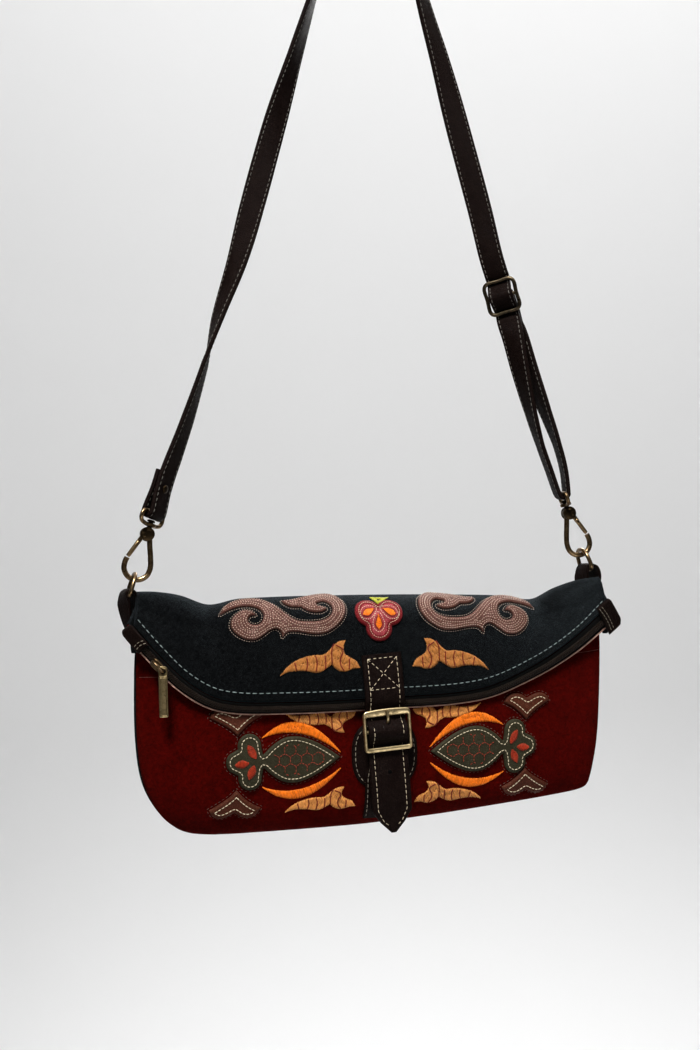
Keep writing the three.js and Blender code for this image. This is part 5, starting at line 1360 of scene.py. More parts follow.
CORNER_LEAF_CORNERS = (0, 3, 6, 10)
CORNER_LEAVES = (
    ("left_upper", -88.6, -68.7, -1), ("right_upper", 89.8, -68.6, -1),
    ("left_lower", -90, -120, 1), ("right_lower", 88.5, -117.6, 1),
)
LEAF_INSET = 2.5
LEAF_STITCH = {"length": 1.7, "gap": 0.6, "thread": 0.27}
CRESCENTS = {
    "upper": ((-73.8, -80.7), (-51, -72.8), (-27.3, -91.4), (-51, -79.1)),
    "lower": ((-74.2, -109), (-51, -116.7), (-27.1, -100.5), (-51, -111.7)),
}
FRONT_HORNS = {
    "lower": {"tip": (-61.1, -125), "scale": (0.9, 0.73), "lean": -62},
    "upper": {"tip": (-60, -66.9), "scale": (0.9, -0.73), "lean": 62},
}
OLIVE = (0.038, 0.034, 0.019)
OLIVE_RUBBED = (0.08, 0.076, 0.05)
LEAF_BROWN = (0.08, 0.024, 0.0125)
LEAF_BROWN_RUBBED = (0.14, 0.062, 0.04)
SEED_RED = (0.22, 0.03, 0.012)
PETAL_RED = (0.28, 0.03, 0.009)
OUTLINE_GREY = (0.13, 0.085, 0.07)
TAN = (0.56, 0.25, 0.072)


def front_map():
    """Places on the front's outer face by x and z."""
    xs, zs, rises = spaced(-146, 146, 293), spaced(-137, -20, 235), spaced(0, FOLD_RISE, 240)
    columns, rows = np.meshgrid(xs, rises)
    share = (columns - pouch["left"](rows)) / (pouch["right"](rows) - pouch["left"](rows))
    walls = pouch_wall(np.clip(share, 0.001, 0.999), rows, -1)
    depth = np.stack([np.interp(zs, walls[:, i, 2], walls[:, i, 1]) for i in range(len(xs))], 1)
    x, z = np.meshgrid(xs, zs)
    return xs, zs, xyz(x, depth, z)


on_front = laid_on(*front_map(), FELT / 2)


def arc(lobe, count):
    turn = np.radians(spaced(lobe["from"], lobe["to"], count))
    return np.stack(
        [lobe["x"] + lobe["radius"] * np.cos(turn), lobe["y"] + lobe["radius"] * np.sin(turn)], 1
    )


def pomegranate_outline(side):
    upper = np.concatenate([smooth_line(POMEGRANATE_BODY, 6), arc(SIDE_LOBE, 24), arc(END_LOBE, 10)])
    full = np.concatenate([upper, (upper * (1, -1))[-2:0:-1]])
    return full * (side, 1) + (0, POMEGRANATE_Z)


def crescent(ends):
    """A crescent through its first tip, outer middle, second tip and inner middle."""
    first, outer, second, inner = (np.array(point, float) for point in ends)

    def bowed(middle):
        control = middle * 2 - (first + second) / 2
        t = spaced(0, 1, 25)[:, None]
        return first * (1 - t) ** 2 + control * 2 * t * (1 - t) + second * t**2

    return np.concatenate([bowed(outer), bowed(inner)[-2:0:-1]])


def seed_paths(side):
    """A honeycomb of short lines inside the pomegranate's body."""
    body = np.array(POMEGRANATE_BODY + [(x, -y) for x, y in POMEGRANATE_BODY[-1:0:-1]], float)
    edge = SEED_CELL["width"] / math.sqrt(3)
    paths = []
    for row in range(-2, 3):
        for column in range(7):
            x = SEED_CELL["from"] + (column + row % 2 / 2) * SEED_CELL["width"]
            ring = [
                (x + edge * math.sin(a), row * 1.5 * edge + edge * math.cos(a))
                for a in np.radians((-60, 0, 60, 120))
            ]
            for start, end in zip(ring, ring[1:]):
                path = mix(np.array(start), np.array(end), spaced(0, 1, 12)[:, None])
                path = path[inside_of(body, path) & (distance_to(body, path) > SEED_CELL["clear"])]
                if len(path) > 1 and length_along(path)[-1] > SEED_CELL["shortest"]:
                    paths.append(path * (side, 1) + (0, POMEGRANATE_Z))
    return paths


olive = leather("olive_leather", OLIVE, OLIVE_RUBBED, pebble=1100.0, wear=0.4, gloss=0.55, bump=0.25)
leaf_brown = leather("leaf_leather", LEAF_BROWN, LEAF_BROWN_RUBBED, pebble=1000.0, wear=0.5, gloss=0.5)
seed_thread = thread("seed_thread", SEED_RED)
petal_thread = thread("petal_thread", PETAL_RED, 0.45)
outline_thread = thread("outline_thread", OUTLINE_GREY)
tan_thread = thread("tan_thread", TAN, 0.5)
for side, label in ((-1, "left"), (1, "right")):
    fruit = pomegranate_outline(side)
    pad = padded(fruit, on_front, FRUIT_PAD)
    piece(f"pomegranate_leather_{label}", pad, olive, [f"pomegranate_{label}"])
    stitches = sewn_along(fruit, on_front, (POMEGRANATE_INSET,), POMEGRANATE_STITCH, FRUIT_PAD["thickness"])
    piece(f"pomegranate_stitches_{label}", stitches, cream_thread)
    outside = sewn_along(fruit, on_front, (OUTLINE_OUTSET,), OUTLINE_STITCH, 0.0)
    piece(f"pomegranate_outline_{label}", outside, outline_thread)
    seeds = [stitch_run(path, on_front, SEED_STITCH, FRUIT_PAD["thickness"]) for path in seed_paths(side)]
    piece(f"pomegranate_seeds_{label}", joined(*seeds), seed_thread)
    petals = []
    for ends in LOBE_PETALS:
        start, end = flipped(ends, side) + (0, POMEGRANATE_Z)
        outline = petal(start, end, LOBE_PETAL_WIDTH)
        petals.append(satin(outline, on_front, across_petal(start, end), FRUIT_PAD["thickness"], dice))
    piece(f"pomegranate_petals_{label}", joined(*petals), petal_thread)
    for level, ends in CRESCENTS.items():
        bow = flipped(crescent(ends), -side)
        angle = math.radians(70 if level == "upper" else -70) * -side
        piece(
            f"crescent_{level}_{label}", satin(bow, on_front, angle, 0.15, dice), orange_thread,
        )
    for level, horn in FRONT_HORNS.items():
        outline = smooth_outline(horn_spots(HORN, horn, -side), HORN_CORNERS)
        threads = satin(outline, on_front, math.radians(horn["lean"]) * side, 0.15, dice)
        piece(f"front_horn_{level}_{label}", threads, tan_thread)
        piece(
            f"front_horn_veins_{level}_{label}", horn_veins(horn, -side, on_front), vein_thread,
        )
for label, x, z, up in CORNER_LEAVES:
    corner = smooth_outline(np.array(CORNER_LEAF) * (-1 if x > 0 else 1, up) + (x, z), CORNER_LEAF_CORNERS)
    pad = padded(corner, on_front, FRUIT_PAD)
    piece(f"leaf_leather_{label}", pad, leaf_brown, [f"corner_leaf_{label}"])
    stitches = sewn_along(corner, on_front, (LEAF_INSET,), LEAF_STITCH, FRUIT_PAD["thickness"])
    piece(f"leaf_stitches_{label}", stitches, cream_thread)
    outside = sewn_along(corner, on_front, (OUTLINE_OUTSET,), OUTLINE_STITCH, 0.0)
    piece(f"leaf_outline_{label}", outside, outline_thread)

# The buckle: an antique brass frame with a centre bar and prong. It is held by a leather strip from the
# bottom seam, backed by a sewn patch. The flap's strap passes through it and ends in a stitched point.
BUCKLE = {"x": -2.6, "tilt": -3.5, "pivot_z": -50}
BUCKLE_FRAME = {
    "width": 29, "top": -67, "foot": -91.5, "side": 1.9, "top_bar": 3.6, "foot_bar": 2.8, "arch": 1.8
}
BUCKLE_PLANE = {"y": -26.8, "lean": 4.5, "thickness": 2.4, "bar_y": -25, "bar_z": -79.5, "bar": 2.2}
BUCKLE_STRAP = {
    "z": [
        -34, -42, -52, -61, -65, -72.2, -75, -77, -79.5, -82, -84.4, -87.4, -91.5, -108, -120, -127, -134,
        -140
    ],
    "y": [
        -27.3, -27.9, -28.1, -27.4, -25, -24.9, -27.2, -28.9, -29.6, -28.9, -26.4, -23.5, -23.2, -23.2,
        -22.6, -21.8, -20.8, -20
    ],
    "width": [24] * 16 + [14.5, 3],
}
BUCKLE_STRAP_WIDTH = 24.0
BUCKLE_STRAP_THICKNESS = 2.2
BUCKLE_HOLE = {"z": -104, "radius": 1.15}
# Black for the disc in the strap's hole: painted shade for the dark inside of the hole.
HOLE_SHADE_BLACK = (0.0008, 0.0006, 0.0005)
BUCKLE_STITCH = {"length": 2.3, "gap": 0.95, "thread": 0.19}
BUCKLE_STITCH_IN = 3.2
CROSS_BOX = {"top": -36.6, "foot": -54.6}
STITCHED_POINT = {"from": -93, "bend": -126.2, "in": (5.6, -133), "tip": (0.6, -137.4)}
PATCH = {"x": -0.6, "z": -94, "half_width": 20, "half_height": 20.5, "squareness": 2.6}
CHAPE = {"width": 21, "thickness": 1.4, "foot_z": -132, "tilted_from": -88, "untilting": 20, "stitch_x": 9}
LUG = {
    "width": 1.9, "height": 3, "corner": 0.4, "depths": (1.1, 0, -1.2, -2.2), "taper": [0.7, 1, 1, 0.8],
}
PRONG = {"wire": 1.8, "root": 5, "root_width": 3.6}


def on_buckle(points):
    """Points of the buckle and its strap, in the slight tilt at which they hang."""
    turn = math.radians(BUCKLE["tilt"])
    x, y, z = np.moveaxis(np.asarray(points, float), -1, 0)
    up = z - BUCKLE["pivot_z"]
    across = x * math.cos(turn) + up * math.sin(turn) + BUCKLE["x"]
    return xyz(across, y, up * math.cos(turn) - x * math.sin(turn) + BUCKLE["pivot_z"])


def buckle_frame():
    half = BUCKLE_FRAME["width"] / 2
    outer = rounded_rectangle(half, BUCKLE_FRAME["foot"], BUCKLE_FRAME["top"], 2.2, 6, 10)
    inside = half - BUCKLE_FRAME["side"]
    window_foot = BUCKLE_FRAME["foot"] + BUCKLE_FRAME["foot_bar"]
    window_top = BUCKLE_FRAME["top"] - BUCKLE_FRAME["top_bar"]
    inner = rounded_rectangle(inside, window_foot, window_top, 0.8, 6, 10)
    arched = outer[:, 1] > BUCKLE_FRAME["top"] - 0.2
    outer[arched, 1] += BUCKLE_FRAME["arch"] / 2 * (1 - (outer[arched, 0] / half) ** 2)
    lean = math.radians(BUCKLE_PLANE["lean"])

    def place(x, z, lift):
        up = z - BUCKLE_PLANE["bar_z"]
        y = BUCKLE_PLANE["y"] - up * math.sin(lean) - lift * math.cos(lean)
        return on_buckle(xyz(x, y, BUCKLE_PLANE["bar_z"] + up * math.cos(lean) - lift * math.sin(lean)))

    reach = half - BUCKLE_FRAME["side"] / 2
    centre_bar = [(x, BUCKLE_PLANE["bar_y"], BUCKLE_PLANE["bar_z"]) for x in (-reach, 0, reach)]
    pin = bar(on_buckle(centre_bar), BUCKLE_PLANE["bar"], TO_FRONT, 2)
    lugs = []
    for side in (-1, 1):
        bar_y, bar_z = BUCKLE_PLANE["bar_y"], BUCKLE_PLANE["bar_z"]
        line = np.array([(side * reach, bar_y + depth, bar_z) for depth in LUG["depths"]])
        section = box_section(LUG["width"], LUG["height"], LUG["corner"])
        lugs.append(swept(on_buckle(line), section, np.array([0, 0, 1.0]), LUG["taper"], LUG["taper"]))
    return joined(framed(outer, inner, BUCKLE_PLANE["thickness"], place, 20, 0.7), pin, *lugs)


def buckle_prong():
    middle = (0, BUCKLE_PLANE["bar_y"], BUCKLE_PLANE["bar_z"])
    top_up = BUCKLE_FRAME["top"] - BUCKLE_FRAME["top_bar"] / 2 - BUCKLE_PLANE["bar_z"]
    top_y = BUCKLE_PLANE["y"] - top_up * math.sin(math.radians(BUCKLE_PLANE["lean"]))
    front = top_y - BUCKLE_PLANE["thickness"] / 2 - 2 * FIT - PRONG["wire"] / 2
    bar_y, bar_z = BUCKLE_PLANE["bar_y"], BUCKLE_PLANE["bar_z"]
    arm = [
        (0, bar_y - 1.2, bar_z + 1.8), (0, bar_y - 2.2, -75.6), (0, front, -72.2), (0, front - 0.1, -69.6),
        (0, front - 0.1, -67.4)
    ]
    root = turned(middle, (1, 0, 0), rounded_disc(PRONG["root_width"], PRONG["root"] / 2))
    root_points, root_faces = root
    arm_shape = bar(on_buckle(arm), PRONG["wire"], TO_RIGHT, 5)
    return joined((on_buckle(root_points), root_faces), arm_shape)


def strip_rows(table, per_span):
    """The strap's middle line and width at close rows, from its table."""
    z, y, width = (np.array(table[key], float) for key in ("z", "y", "width"))
    line = smooth_line(np.stack([np.zeros(len(z)), y, z], 1), per_span)
    return line, np.interp(-line[:, 2], -z, width)


def buckle_strap():
    line, width = strip_rows(BUCKLE_STRAP, 6)
    full = strap_section(BUCKLE_STRAP_WIDTH, BUCKLE_STRAP_THICKNESS, 0.12, 0.12, BUCKLE_STITCH_IN)
    facing = np.cross(np.gradient(line, axis=0), TO_LEFT)
    return swept(on_buckle(line), full, facing, width / BUCKLE_STRAP_WIDTH)


def strap_face(table):
    line = strip_rows(table, 6)[0]
    zs = spaced(line[:, 2].min(), line[:, 2].max(), 400)
    y = np.interp(zs, line[::-1, 2], line[::-1, 1])
    xs = spaced(-BUCKLE_STRAP_WIDTH / 2, BUCKLE_STRAP_WIDTH / 2, 25)
    return xs, zs, xyz(xs[None, :], y[:, None], zs[:, None])


def buckle_place():
    place = laid_on(*strap_face(BUCKLE_STRAP), BUCKLE_STRAP_THICKNESS / 2)
    return lambda x, z, lift: on_buckle(place(x, z, lift))


def buckle_stitch_paths():
    edge = BUCKLE_STRAP_WIDTH / 2 - BUCKLE_STITCH_IN
    top, foot = CROSS_BOX["top"], CROSS_BOX["foot"]
    start = STITCHED_POINT["from"]
    sides = [[(x, top), (x, start)] for x in (-edge, edge)]
    box = [[(-edge, z), (edge, z)] for z in (top, foot)]
    box += [[(x, top), (-x, foot)] for x in (-edge, edge)]
    right = [(edge, start), (edge, STITCHED_POINT["bend"]), STITCHED_POINT["in"], STITCHED_POINT["tip"]]
    point = [[(s * x, z) for x, z in right] for s in (-1, 1)]
    return [np.array(path) for path in sides + box + point]


def patch_outline():
    turn = spaced(0, 2 * np.pi, 97)[:-1]
    power = 2 / PATCH["squareness"]
    x = np.sign(np.cos(turn)) * np.abs(np.cos(turn)) ** power
    z = np.sign(np.sin(turn)) * np.abs(np.sin(turn)) ** power
    return np.stack([PATCH["x"] + PATCH["half_width"] * x, PATCH["z"] + PATCH["half_height"] * z], 1)


def chape_line():
    above = FIT + LEATHER + FIT + CHAPE["thickness"] / 2
    rows = np.array([CHAPE["foot_z"], -127, -121, -112, -103, -94, -87], float)
    laid = on_front(np.full(7, float(BUCKLE["x"])), rows, above)
    wrap = BUCKLE_PLANE["bar"] / 2 + FIT + CHAPE["thickness"] / 2 + 0.1
    turn = np.radians([-20, 20, 60, 100, 140, 180])
    bar_y, bar_z = BUCKLE_PLANE["bar_y"], BUCKLE_PLANE["bar_z"]
    line = [(0, y, z) for y, z in zip(laid[:, 1], rows)]
    line += [(0, bar_y + wrap * math.cos(t), bar_z + wrap * math.sin(t)) for t in turn]
    line = smooth_line(line + [(0, bar_y + 0.6, -83.6)], 5)
    facing = np.cross(np.gradient(line, axis=0), TO_LEFT)
    upright = np.clip((CHAPE["tilted_from"] - line[:, 2]) / CHAPE["untilting"], 0, 1)[:, None]
    return mix(on_buckle(line), line + np.array([BUCKLE["x"], 0, 0]), upright), facing


def on_chape(x, z, lift):
    """A place on the chape's front face below the buckle, by distance across it and height."""
    below = chape[chape[:, 2] < BUCKLE_FRAME["foot"]]
    order = np.argsort(below[:, 2])
    middle, depth = (np.interp(z, below[order, 2], below[order, k]) for k in (0, 1))
    return xyz(middle + x, depth - CHAPE["thickness"] / 2 - lift, z)


def evenly(path, count=160):
    """A path of straight runs as many close points."""
    along = length_along(np.asarray(path, float))
    at = spaced(0, along[-1], count)
    return np.stack([np.interp(at, along, path[:, 0]), np.interp(at, along, path[:, 1])], 1)


patch = patch_outline()
piece(
    "patch_leather", cut_out(patch, on_front, LEATHER + FIT, 1.4), dark_leather,
    ["buckle_patch"]
)
piece(
    "patch_stitches", sewn_along(patch, on_front, (2.0,), BUCKLE_STITCH, LEATHER + FIT), dim_thread,
)
chape, chape_facing = chape_line()
chape_section = strap_section(CHAPE["width"], CHAPE["thickness"], 0.05, 0.05, 1.6)
piece(
    "chape_leather", swept(chape, chape_section, chape_facing), dark_leather,
    ["buckle_chape"], sharp=60
)
chape_rows = [
    np.array([(side * CHAPE["stitch_x"], CHAPE["foot_z"] + 1), (side * CHAPE["stitch_x"], -94)])
    for side in (-1, 1)
]
chape_stitches = [stitch_run(evenly(path), on_chape, BUCKLE_STITCH) for path in chape_rows]
piece("chape_stitches", joined(*chape_stitches), dim_thread)
piece("buckle_frame_cast", buckle_frame(), worn_brass, ["buckle_frame"], sharp=60)
piece("buckle_prong_cast", buckle_prong(), worn_brass, ["buckle_prong"], sharp=60)
piece("buckle_strap_leather", buckle_strap(), dark_leather, ["buckle_strap"], sharp=60)
on_strap_front = buckle_place()
tab_stitches = [
    stitch_run(evenly(path), on_strap_front, BUCKLE_STITCH, -0.05) for path in buckle_stitch_paths()
]
piece("buckle_strap_stitches", joined(*tab_stitches), cream_thread)
# A black disc on the strap at its hole: painted shade standing for the dark inside of the punched hole.
hole_at = on_strap_front(np.array(0.0), np.array(BUCKLE_HOLE["z"]), np.array(0.0))
hole = turned(hole_at, (0, 1, 0), [(-0.14, BUCKLE_HOLE["radius"]), (0.4, BUCKLE_HOLE["radius"])])
hole_shade_look = leather("hole", HOLE_SHADE_BLACK, HOLE_SHADE_BLACK, pebble=900.0, wear=0.0, gloss=0.9)
piece("buckle_strap_hole_shade", hole, hole_shade_look)

# The D-rings at the ends of the fold and the leather tabs that hold them: each tab is a short strip folded
# round the ring's straight side, its two ends sewn inside the pouch's corner.
RING = {"wire": 2.5, "width": 17.5, "height": 12.8, "y": 2}
RING_TAB = {"width": 14, "thickness": 1.8, "twist_below": 4, "twisting": 9, "gather": 0.62, "gathering": 22}
HOOK_SIDES = {
    "left": {"x": -147, "z": 4.5, "lean": 18.5, "eye_turn": -131, "gate": -1, "tab_twist": 27},
    "right": {"x": 140, "z": 11.4, "lean": -17.4, "eye_turn": -100, "gate": 1, "tab_twist": 16},
}
TAB_ROUTES = {
    "left": {
        "before": [(-143.6, -21), (-144.6, -13), (-144.6, -5)], "round": [0, 50, 100, 150, 190],
        "after": [(-149.2, -4), (-147.6, -13), (-145.4, -21)]
    },
    "right": {
        "before": [(136.2, 1.5), (136.4, 5.5), (136.8, 9)], "round": [170, 130, 90, 55],
        "after": [(143.7, 12.4), (144.7, 8.8), (144.4, 2), (143.6, -9)],
    },
}


def leaning(side):
    lean = math.radians(side["lean"])
    return np.array([math.sin(lean), 0, math.cos(lean)])


def d_ring(side):
    half, high = RING["width"] / 2, RING["height"]
    outline = [
        (-half + 2, 0), (0, 0), (half - 2, 0), (half, 1.6), (half, 5), (half * 0.82, high * 0.75),
        (half * 0.42, high * 0.96), (0, high)
    ]
    outline += [(-y, h) for y, h in outline[-2:2:-1]]
    foot = np.array([side["x"], RING["y"], side["z"]])
    points = [foot + np.array([0, y, 0]) + leaning(side) * h for y, h in outline]
    return bar(points, RING["wire"], np.cross(leaning(side), TO_BACK), 6, 16, True)


def ring_tab(label, side):
    wrap = RING["wire"] / 2 + FIT + RING_TAB["thickness"] / 2 + 0.3
    route = TAB_ROUTES[label]
    turns = [
        (side["x"] + wrap * math.cos(math.radians(a)), side["z"] + wrap * math.sin(math.radians(a)))
        for a in route["round"]
    ]
    line = smooth_line([(x, RING["y"], z) for x, z in route["before"] + turns + route["after"]], 6)
    below = np.clip((side["z"] + RING_TAB["twist_below"] - line[:, 2]) / RING_TAB["twisting"], 0, 1)
    turn = math.radians(side["tab_twist"]) * below
    facing = np.cross(np.gradient(line, axis=0), xyz(-np.sin(turn), np.cos(turn), 0))
    sunk = np.clip((side["z"] - line[:, 2]) / RING_TAB["gathering"], 0, 1)
    wide = 1 - RING_TAB["gather"] * sunk**1.7
    section = strap_section(RING_TAB["width"], RING_TAB["thickness"], 0.08, 0.05, 1.6)
    return swept(line, section, facing, wide)


for label, side in HOOK_SIDES.items():
    piece(
        f"ring_tab_leather_{label}", ring_tab(label, side), dark_leather,
        [f"ring_tab_{label}"], sharp=60
    )
    piece(f"ring_wire_{label}", d_ring(side), brass, [f"ring_{label}"])

# The snap hooks: a cast brass bow with a slotted head, a sprung gate on a pin through the head, and a
# swivelling eye on the head's post for the strap.
HOOK = {"wire": 3.2, "head": 8.4, "head_depth": 5.4, "head_up": 27.5, "back_in": 2.2, "back_up": 0.6}
HOOK_BOW = [
    (-1.6, 27), (-3.4, 21.5), (-6, 14.5), (-7.5, 9), (-6.9, 4.2), (-3.9, 0.95), (0, 0), (3.9, 0.95),
    (6.9, 4.2), (7.6, 8), (7.2, 11.2),
]
EYE = {"up": 33.2, "bar_up": 40.6, "wire": 2.4, "boss": 7}
GATE = {
    "wire": 2.6, "pivot_in": 1.9, "pivot_up": 26.6, "tongue": 1.8, "root": 4.4, "tip_x": 7.1,
    "tip_up": 11.9
}
GATE_REACH = (4.4, 4.8, 5.6, 8, 11, 14, 14.8)
GATE_TONGUE = (0.4, 3.2, 6.2)
GATE_GIRTH = (0.55, 0.8, 1, 1, 1, 1, 0.95, 0.8)
HOOK_NECK = [(-3.6, 3.2), (-2.4, 2.4), (-1.9, 1.5), (1.6, 1.5), (1.7, 2.4), (2.6, 2.3), (3.0, 1.4)]
HOOK_RIVET = [(-3.1, 0.8), (-2.9, 1.5), (-2.4, 1.7), (2.4, 1.7), (2.9, 1.5), (3.1, 0.8)]
HEAD_BRIGHT = (0.09, 0.062, 0.034)
HEAD_DULL = (0.03, 0.021, 0.012)


def hook_place(side):
    """Where a hook sits: its bow hangs inside the top of the ring."""
    grip = RING["height"] - RING["wire"] / 2 - HOOK["wire"] / 2 - FIT
    at = np.array([side["x"], RING["y"], side["z"]]) + leaning(side) * grip
    return Matrix.Translation(at) @ Matrix.Rotation(math.radians(side["lean"]), 4, "Y")


def eye_place(side):
    return hook_place(side) @ Matrix.Rotation(math.radians(side["eye_turn"]), 4, "Z")


def placed(shape, matrix):
    points, faces = shape
    matrix = np.array(matrix)
    return np.asarray(points) @ matrix[:3, :3].T + matrix[:3, 3], faces


def hook_bow(gate_side):
    """The hook's bow, and the head that joins it to the swivel."""
    bow = bar([(a * gate_side, 0, h) for a, h in HOOK_BOW], HOOK["wire"], TO_BACK, 6, 18)
    plate_depth = (HOOK["head_depth"] - GATE["tongue"] - 2 * FIT) / 2
    shift = (GATE["tongue"] + 2 * FIT + plate_depth) / 2
    head = [
        turned((0, s * shift, HOOK["head_up"]), (0, 1, 0), rounded_disc(plate_depth, HOOK["head"] / 2))
        for s in (-1, 1)
    ]
    back_at = (-gate_side * HOOK["back_in"], 0, HOOK["head_up"] + HOOK["back_up"])
    back = turned(back_at, (0, 1, 0), rounded_disc(HOOK["head_depth"] - 0.4, 2.0))
    neck = turned((0, 0, EYE["up"]), (0, 0, 1), HOOK_NECK)
    rivet = turned((gate_side * GATE["pivot_in"], 0, GATE["pivot_up"]), (0, 1, 0), HOOK_RIVET)
    return bow, joined(*head, back, neck, rivet)


def hook_gate(gate_side):
    pivot = np.array([gate_side * GATE["pivot_in"], 0, GATE["pivot_up"]])
    tip = np.array([gate_side * GATE["tip_x"], 0, GATE["tip_up"]])
    way = unit(tip - pivot)
    girth = np.array(GATE_GIRTH) * GATE["wire"] / 2
    line = pivot + way * np.array([*GATE_REACH, np.linalg.norm(tip - pivot)])[:, None]
    arm = swept(line, round_section(16), TO_BACK, girth, girth)
    root = turned(pivot, (0, 1, 0), rounded_disc(GATE["tongue"], GATE["root"] / 2, 0.2))
    slip = pivot + way * np.array(GATE_TONGUE)[:, None]
    tongue = swept(slip, box_section(GATE["wire"], GATE["tongue"], 0.25), TO_BACK)
    return joined(arm, root, tongue)


def hook_eye():
    low, up = EYE["up"], EYE["bar_up"]
    right = [(0, low), (5, low), (9.6, low + 1.3), (10.8, low + 4), (10, up - 0.7), (8, up), (0, up)]
    outline = right + [(-a, h) for a, h in right[-2:0:-1]]
    loop = bar([(a, 0, h) for a, h in outline], EYE["wire"], TO_BACK, 6, 14, True)
    half = EYE["boss"] / 2
    boss = turned((0, 0, low), (0, 0, 1), [(-1, half - 0.4), (-0.7, half), (0.7, half), (1, half - 0.4)])
    return joined(loop, boss)


head_brass = brass_look("head_brass", HEAD_BRIGHT, HEAD_DULL, BRASS_DARK, gloss=0.3)
for label, side in HOOK_SIDES.items():
    bow, head = (placed(shape, hook_place(side)) for shape in hook_bow(side["gate"]))
    piece(f"hook_cast_{label}", bow, brass, [f"hook_{label}"], sharp=50)
    piece(f"hook_head_{label}", head, head_brass, sharp=50)
    piece(
        f"gate_cast_{label}", placed(hook_gate(side["gate"]), hook_place(side)), brass,
        [f"hook_gate_{label}"], body=f"gate_{label}", sharp=50
    )
    piece(
        f"eye_wire_{label}", placed(hook_eye(), eye_place(side)), brass, [f"hook_eye_{label}"],
        sharp=50
    )

# The shoulder strap: one strip of pebbled dark leather with a row of stitches along each edge. It is
# riveted round the left eye, runs over the hanging point, through the slide, round the right eye and back
# to the slide's middle bar, and twists on the way.
STRAP = {"width": 15, "thickness": 2.4}
STRAP_STITCH = {"length": 2.3, "gap": 1.0, "thread": 0.21}
STRAP_THREAD = (0.16, 0.15, 0.132)
STRAP_STITCH_IN = 1.7
STITCHED = {"from": 4, "short_of": 66, "points": 1200}
STRAP_TOP = {"radius": 15, "from": 168, "to": 12, "rows": 7}
LEFT_STRAND = [
    (-117.8, 86, -130), (-109.4, 108, -121), (-98.5, 140, -105), (-90, 168, -72), (-77.5, 202, -44),
    (-66.5, 239, -12), (-52, 287, 16), (-40, 324, 48), (-27.7, 362, 68), (-13, 407, 84),
]
RIGHT_STRAND = [(35, 407, 76), (43.4, 366, 40), (53.3, 329, 20), (63.9, 286, -8), (76.4, 236, -26)]
SLIDE = {"x": 89, "z": 183, "turn": -30, "wire": 2.4, "half_width": 9.4, "half_height": 9.8}
WEAVE = [
    (-26, 0), (-15, -1.8), (-9.8, -3.15), (-5, 0.9), (-2, 4.3), (0, 4.8), (2, 4.3), (5, 0.9), (9.8, -3.15),
    (16, -1),
]
LOOP = [
    (96.2, 159, -48, 2, -4), (102.4, 138, -66, 4, -4), (110.8, 110, -88, 5, -5), (117, 90, -99, 5.4, -5.4),
    (121.8, 73.5, -100, 4.6, -4.6),
]
RETURN_WRAP = [
    (16, -4.9, 2.4), (9.8, -5.8, 2), (5.2, -3.6, 1.5), (2.6, -0.9, 1.4), (1.8, 1.3, 1.4), (0, 2.3, 1.4),
    (-1.8, 1.3, 1.4), (-2.3, -0.4, 1.4), (-1.1, -2, 1.4), (1.6, -3.8, 1.4), (5.2, -6, 1.4),
    (9.8, -8.3, 1.4), (16, -7.6, 1.4), (22, -7.2, 1.4),
]
EYE_TURNS = (180, 215, 250, 290, 325, 360)
STRAP_END = {"tail": 25, "gather": 12, "rivet_up": 15, "rivet_head": 5}
SLIDE_BRIGHT = (0.16, 0.125, 0.08)
SLIDE_DULL = (0.05, 0.04, 0.028)


def across_at(degrees):
    turn = math.radians(degrees)
    return np.array([math.cos(turn), math.sin(turn), 0])


def slide_axes():
    down = unit(np.array([LOOP[0][0] - RIGHT_STRAND[-1][0], 0, LOOP[0][1] - RIGHT_STRAND[-1][1]]))
    across = across_at(SLIDE["turn"])
    across = unit(across - down * (down @ across))
    return across, down, np.cross(down, across)


def at_slide(wide, along, lift):
    across, down, out = slide_axes()
    return np.array([SLIDE["x"], RING["y"], SLIDE["z"]]) + across * wide + down * along + out * lift


def eye_stations(side, rows):
    """Stations of the strap by an eye, from depth and height over the eye's bar."""
    matrix = np.array(eye_place(side))
    across = matrix[:3, 0]
    return [
        (matrix[:3, :3] @ np.array([0, y, EYE["bar_up"] + up]) + matrix[:3, 3], across, STRAP["thickness"])
        for y, up in rows
    ]


def strap_stations():
    """Every station of the strip in order: its middle, the way across it and its thickness."""
    left, right = HOOK_SIDES["left"], HOOK_SIDES["right"]
    half = (STRAP["thickness"] + 2 * FIT) / 2
    wrap = EYE["wire"] / 2 + FIT + STRAP["thickness"] / 2 + 0.1
    turns = [(wrap * math.cos(math.radians(a)), wrap * math.sin(math.radians(a))) for a in EYE_TURNS]
    limb = [(half + 0.2, STRAP_END["gather"]), (half, STRAP_END["rivet_up"]), (half, STRAP_END["tail"])]
    full = STRAP["thickness"]
    stations = eye_stations(left, [(-y, up) for y, up in limb[::-1]] + turns + limb)
    stations += [(np.array([x, RING["y"], z]), across_at(turn), full) for x, z, turn in LEFT_STRAND]
    radius = STRAP_TOP["radius"] + full / 2
    middle = np.array([HANG_POINT[0], RING["y"], HANG_POINT[2] - STRAP_TOP["radius"]])
    for turn in np.radians(spaced(STRAP_TOP["from"], STRAP_TOP["to"], STRAP_TOP["rows"])):
        way = np.array([math.cos(turn), 0, math.sin(turn)])
        stations.append((middle + radius * way, across_at(90), full))
    stations += [(np.array([x, RING["y"], z]), across_at(turn), full) for x, z, turn in RIGHT_STRAND]
    slide_across = slide_axes()[0]
    stations += [(at_slide(0, down, out), slide_across, full) for down, out in WEAVE]

    def layer(row, out):
        across = across_at(row[2])
        outward = np.array([across[1], -across[0], 0])
        return np.array([row[0], RING["y"], row[1]]) + outward * out, across, full

    stations += [layer(row, row[3]) for row in LOOP]
    stations += eye_stations(right, turns)
    stations += [layer(row, row[4]) for row in LOOP[::-1]]
    stations += [(at_slide(0, down, out), slide_across, thin) for down, out, thin in RETURN_WRAP]
    return stations


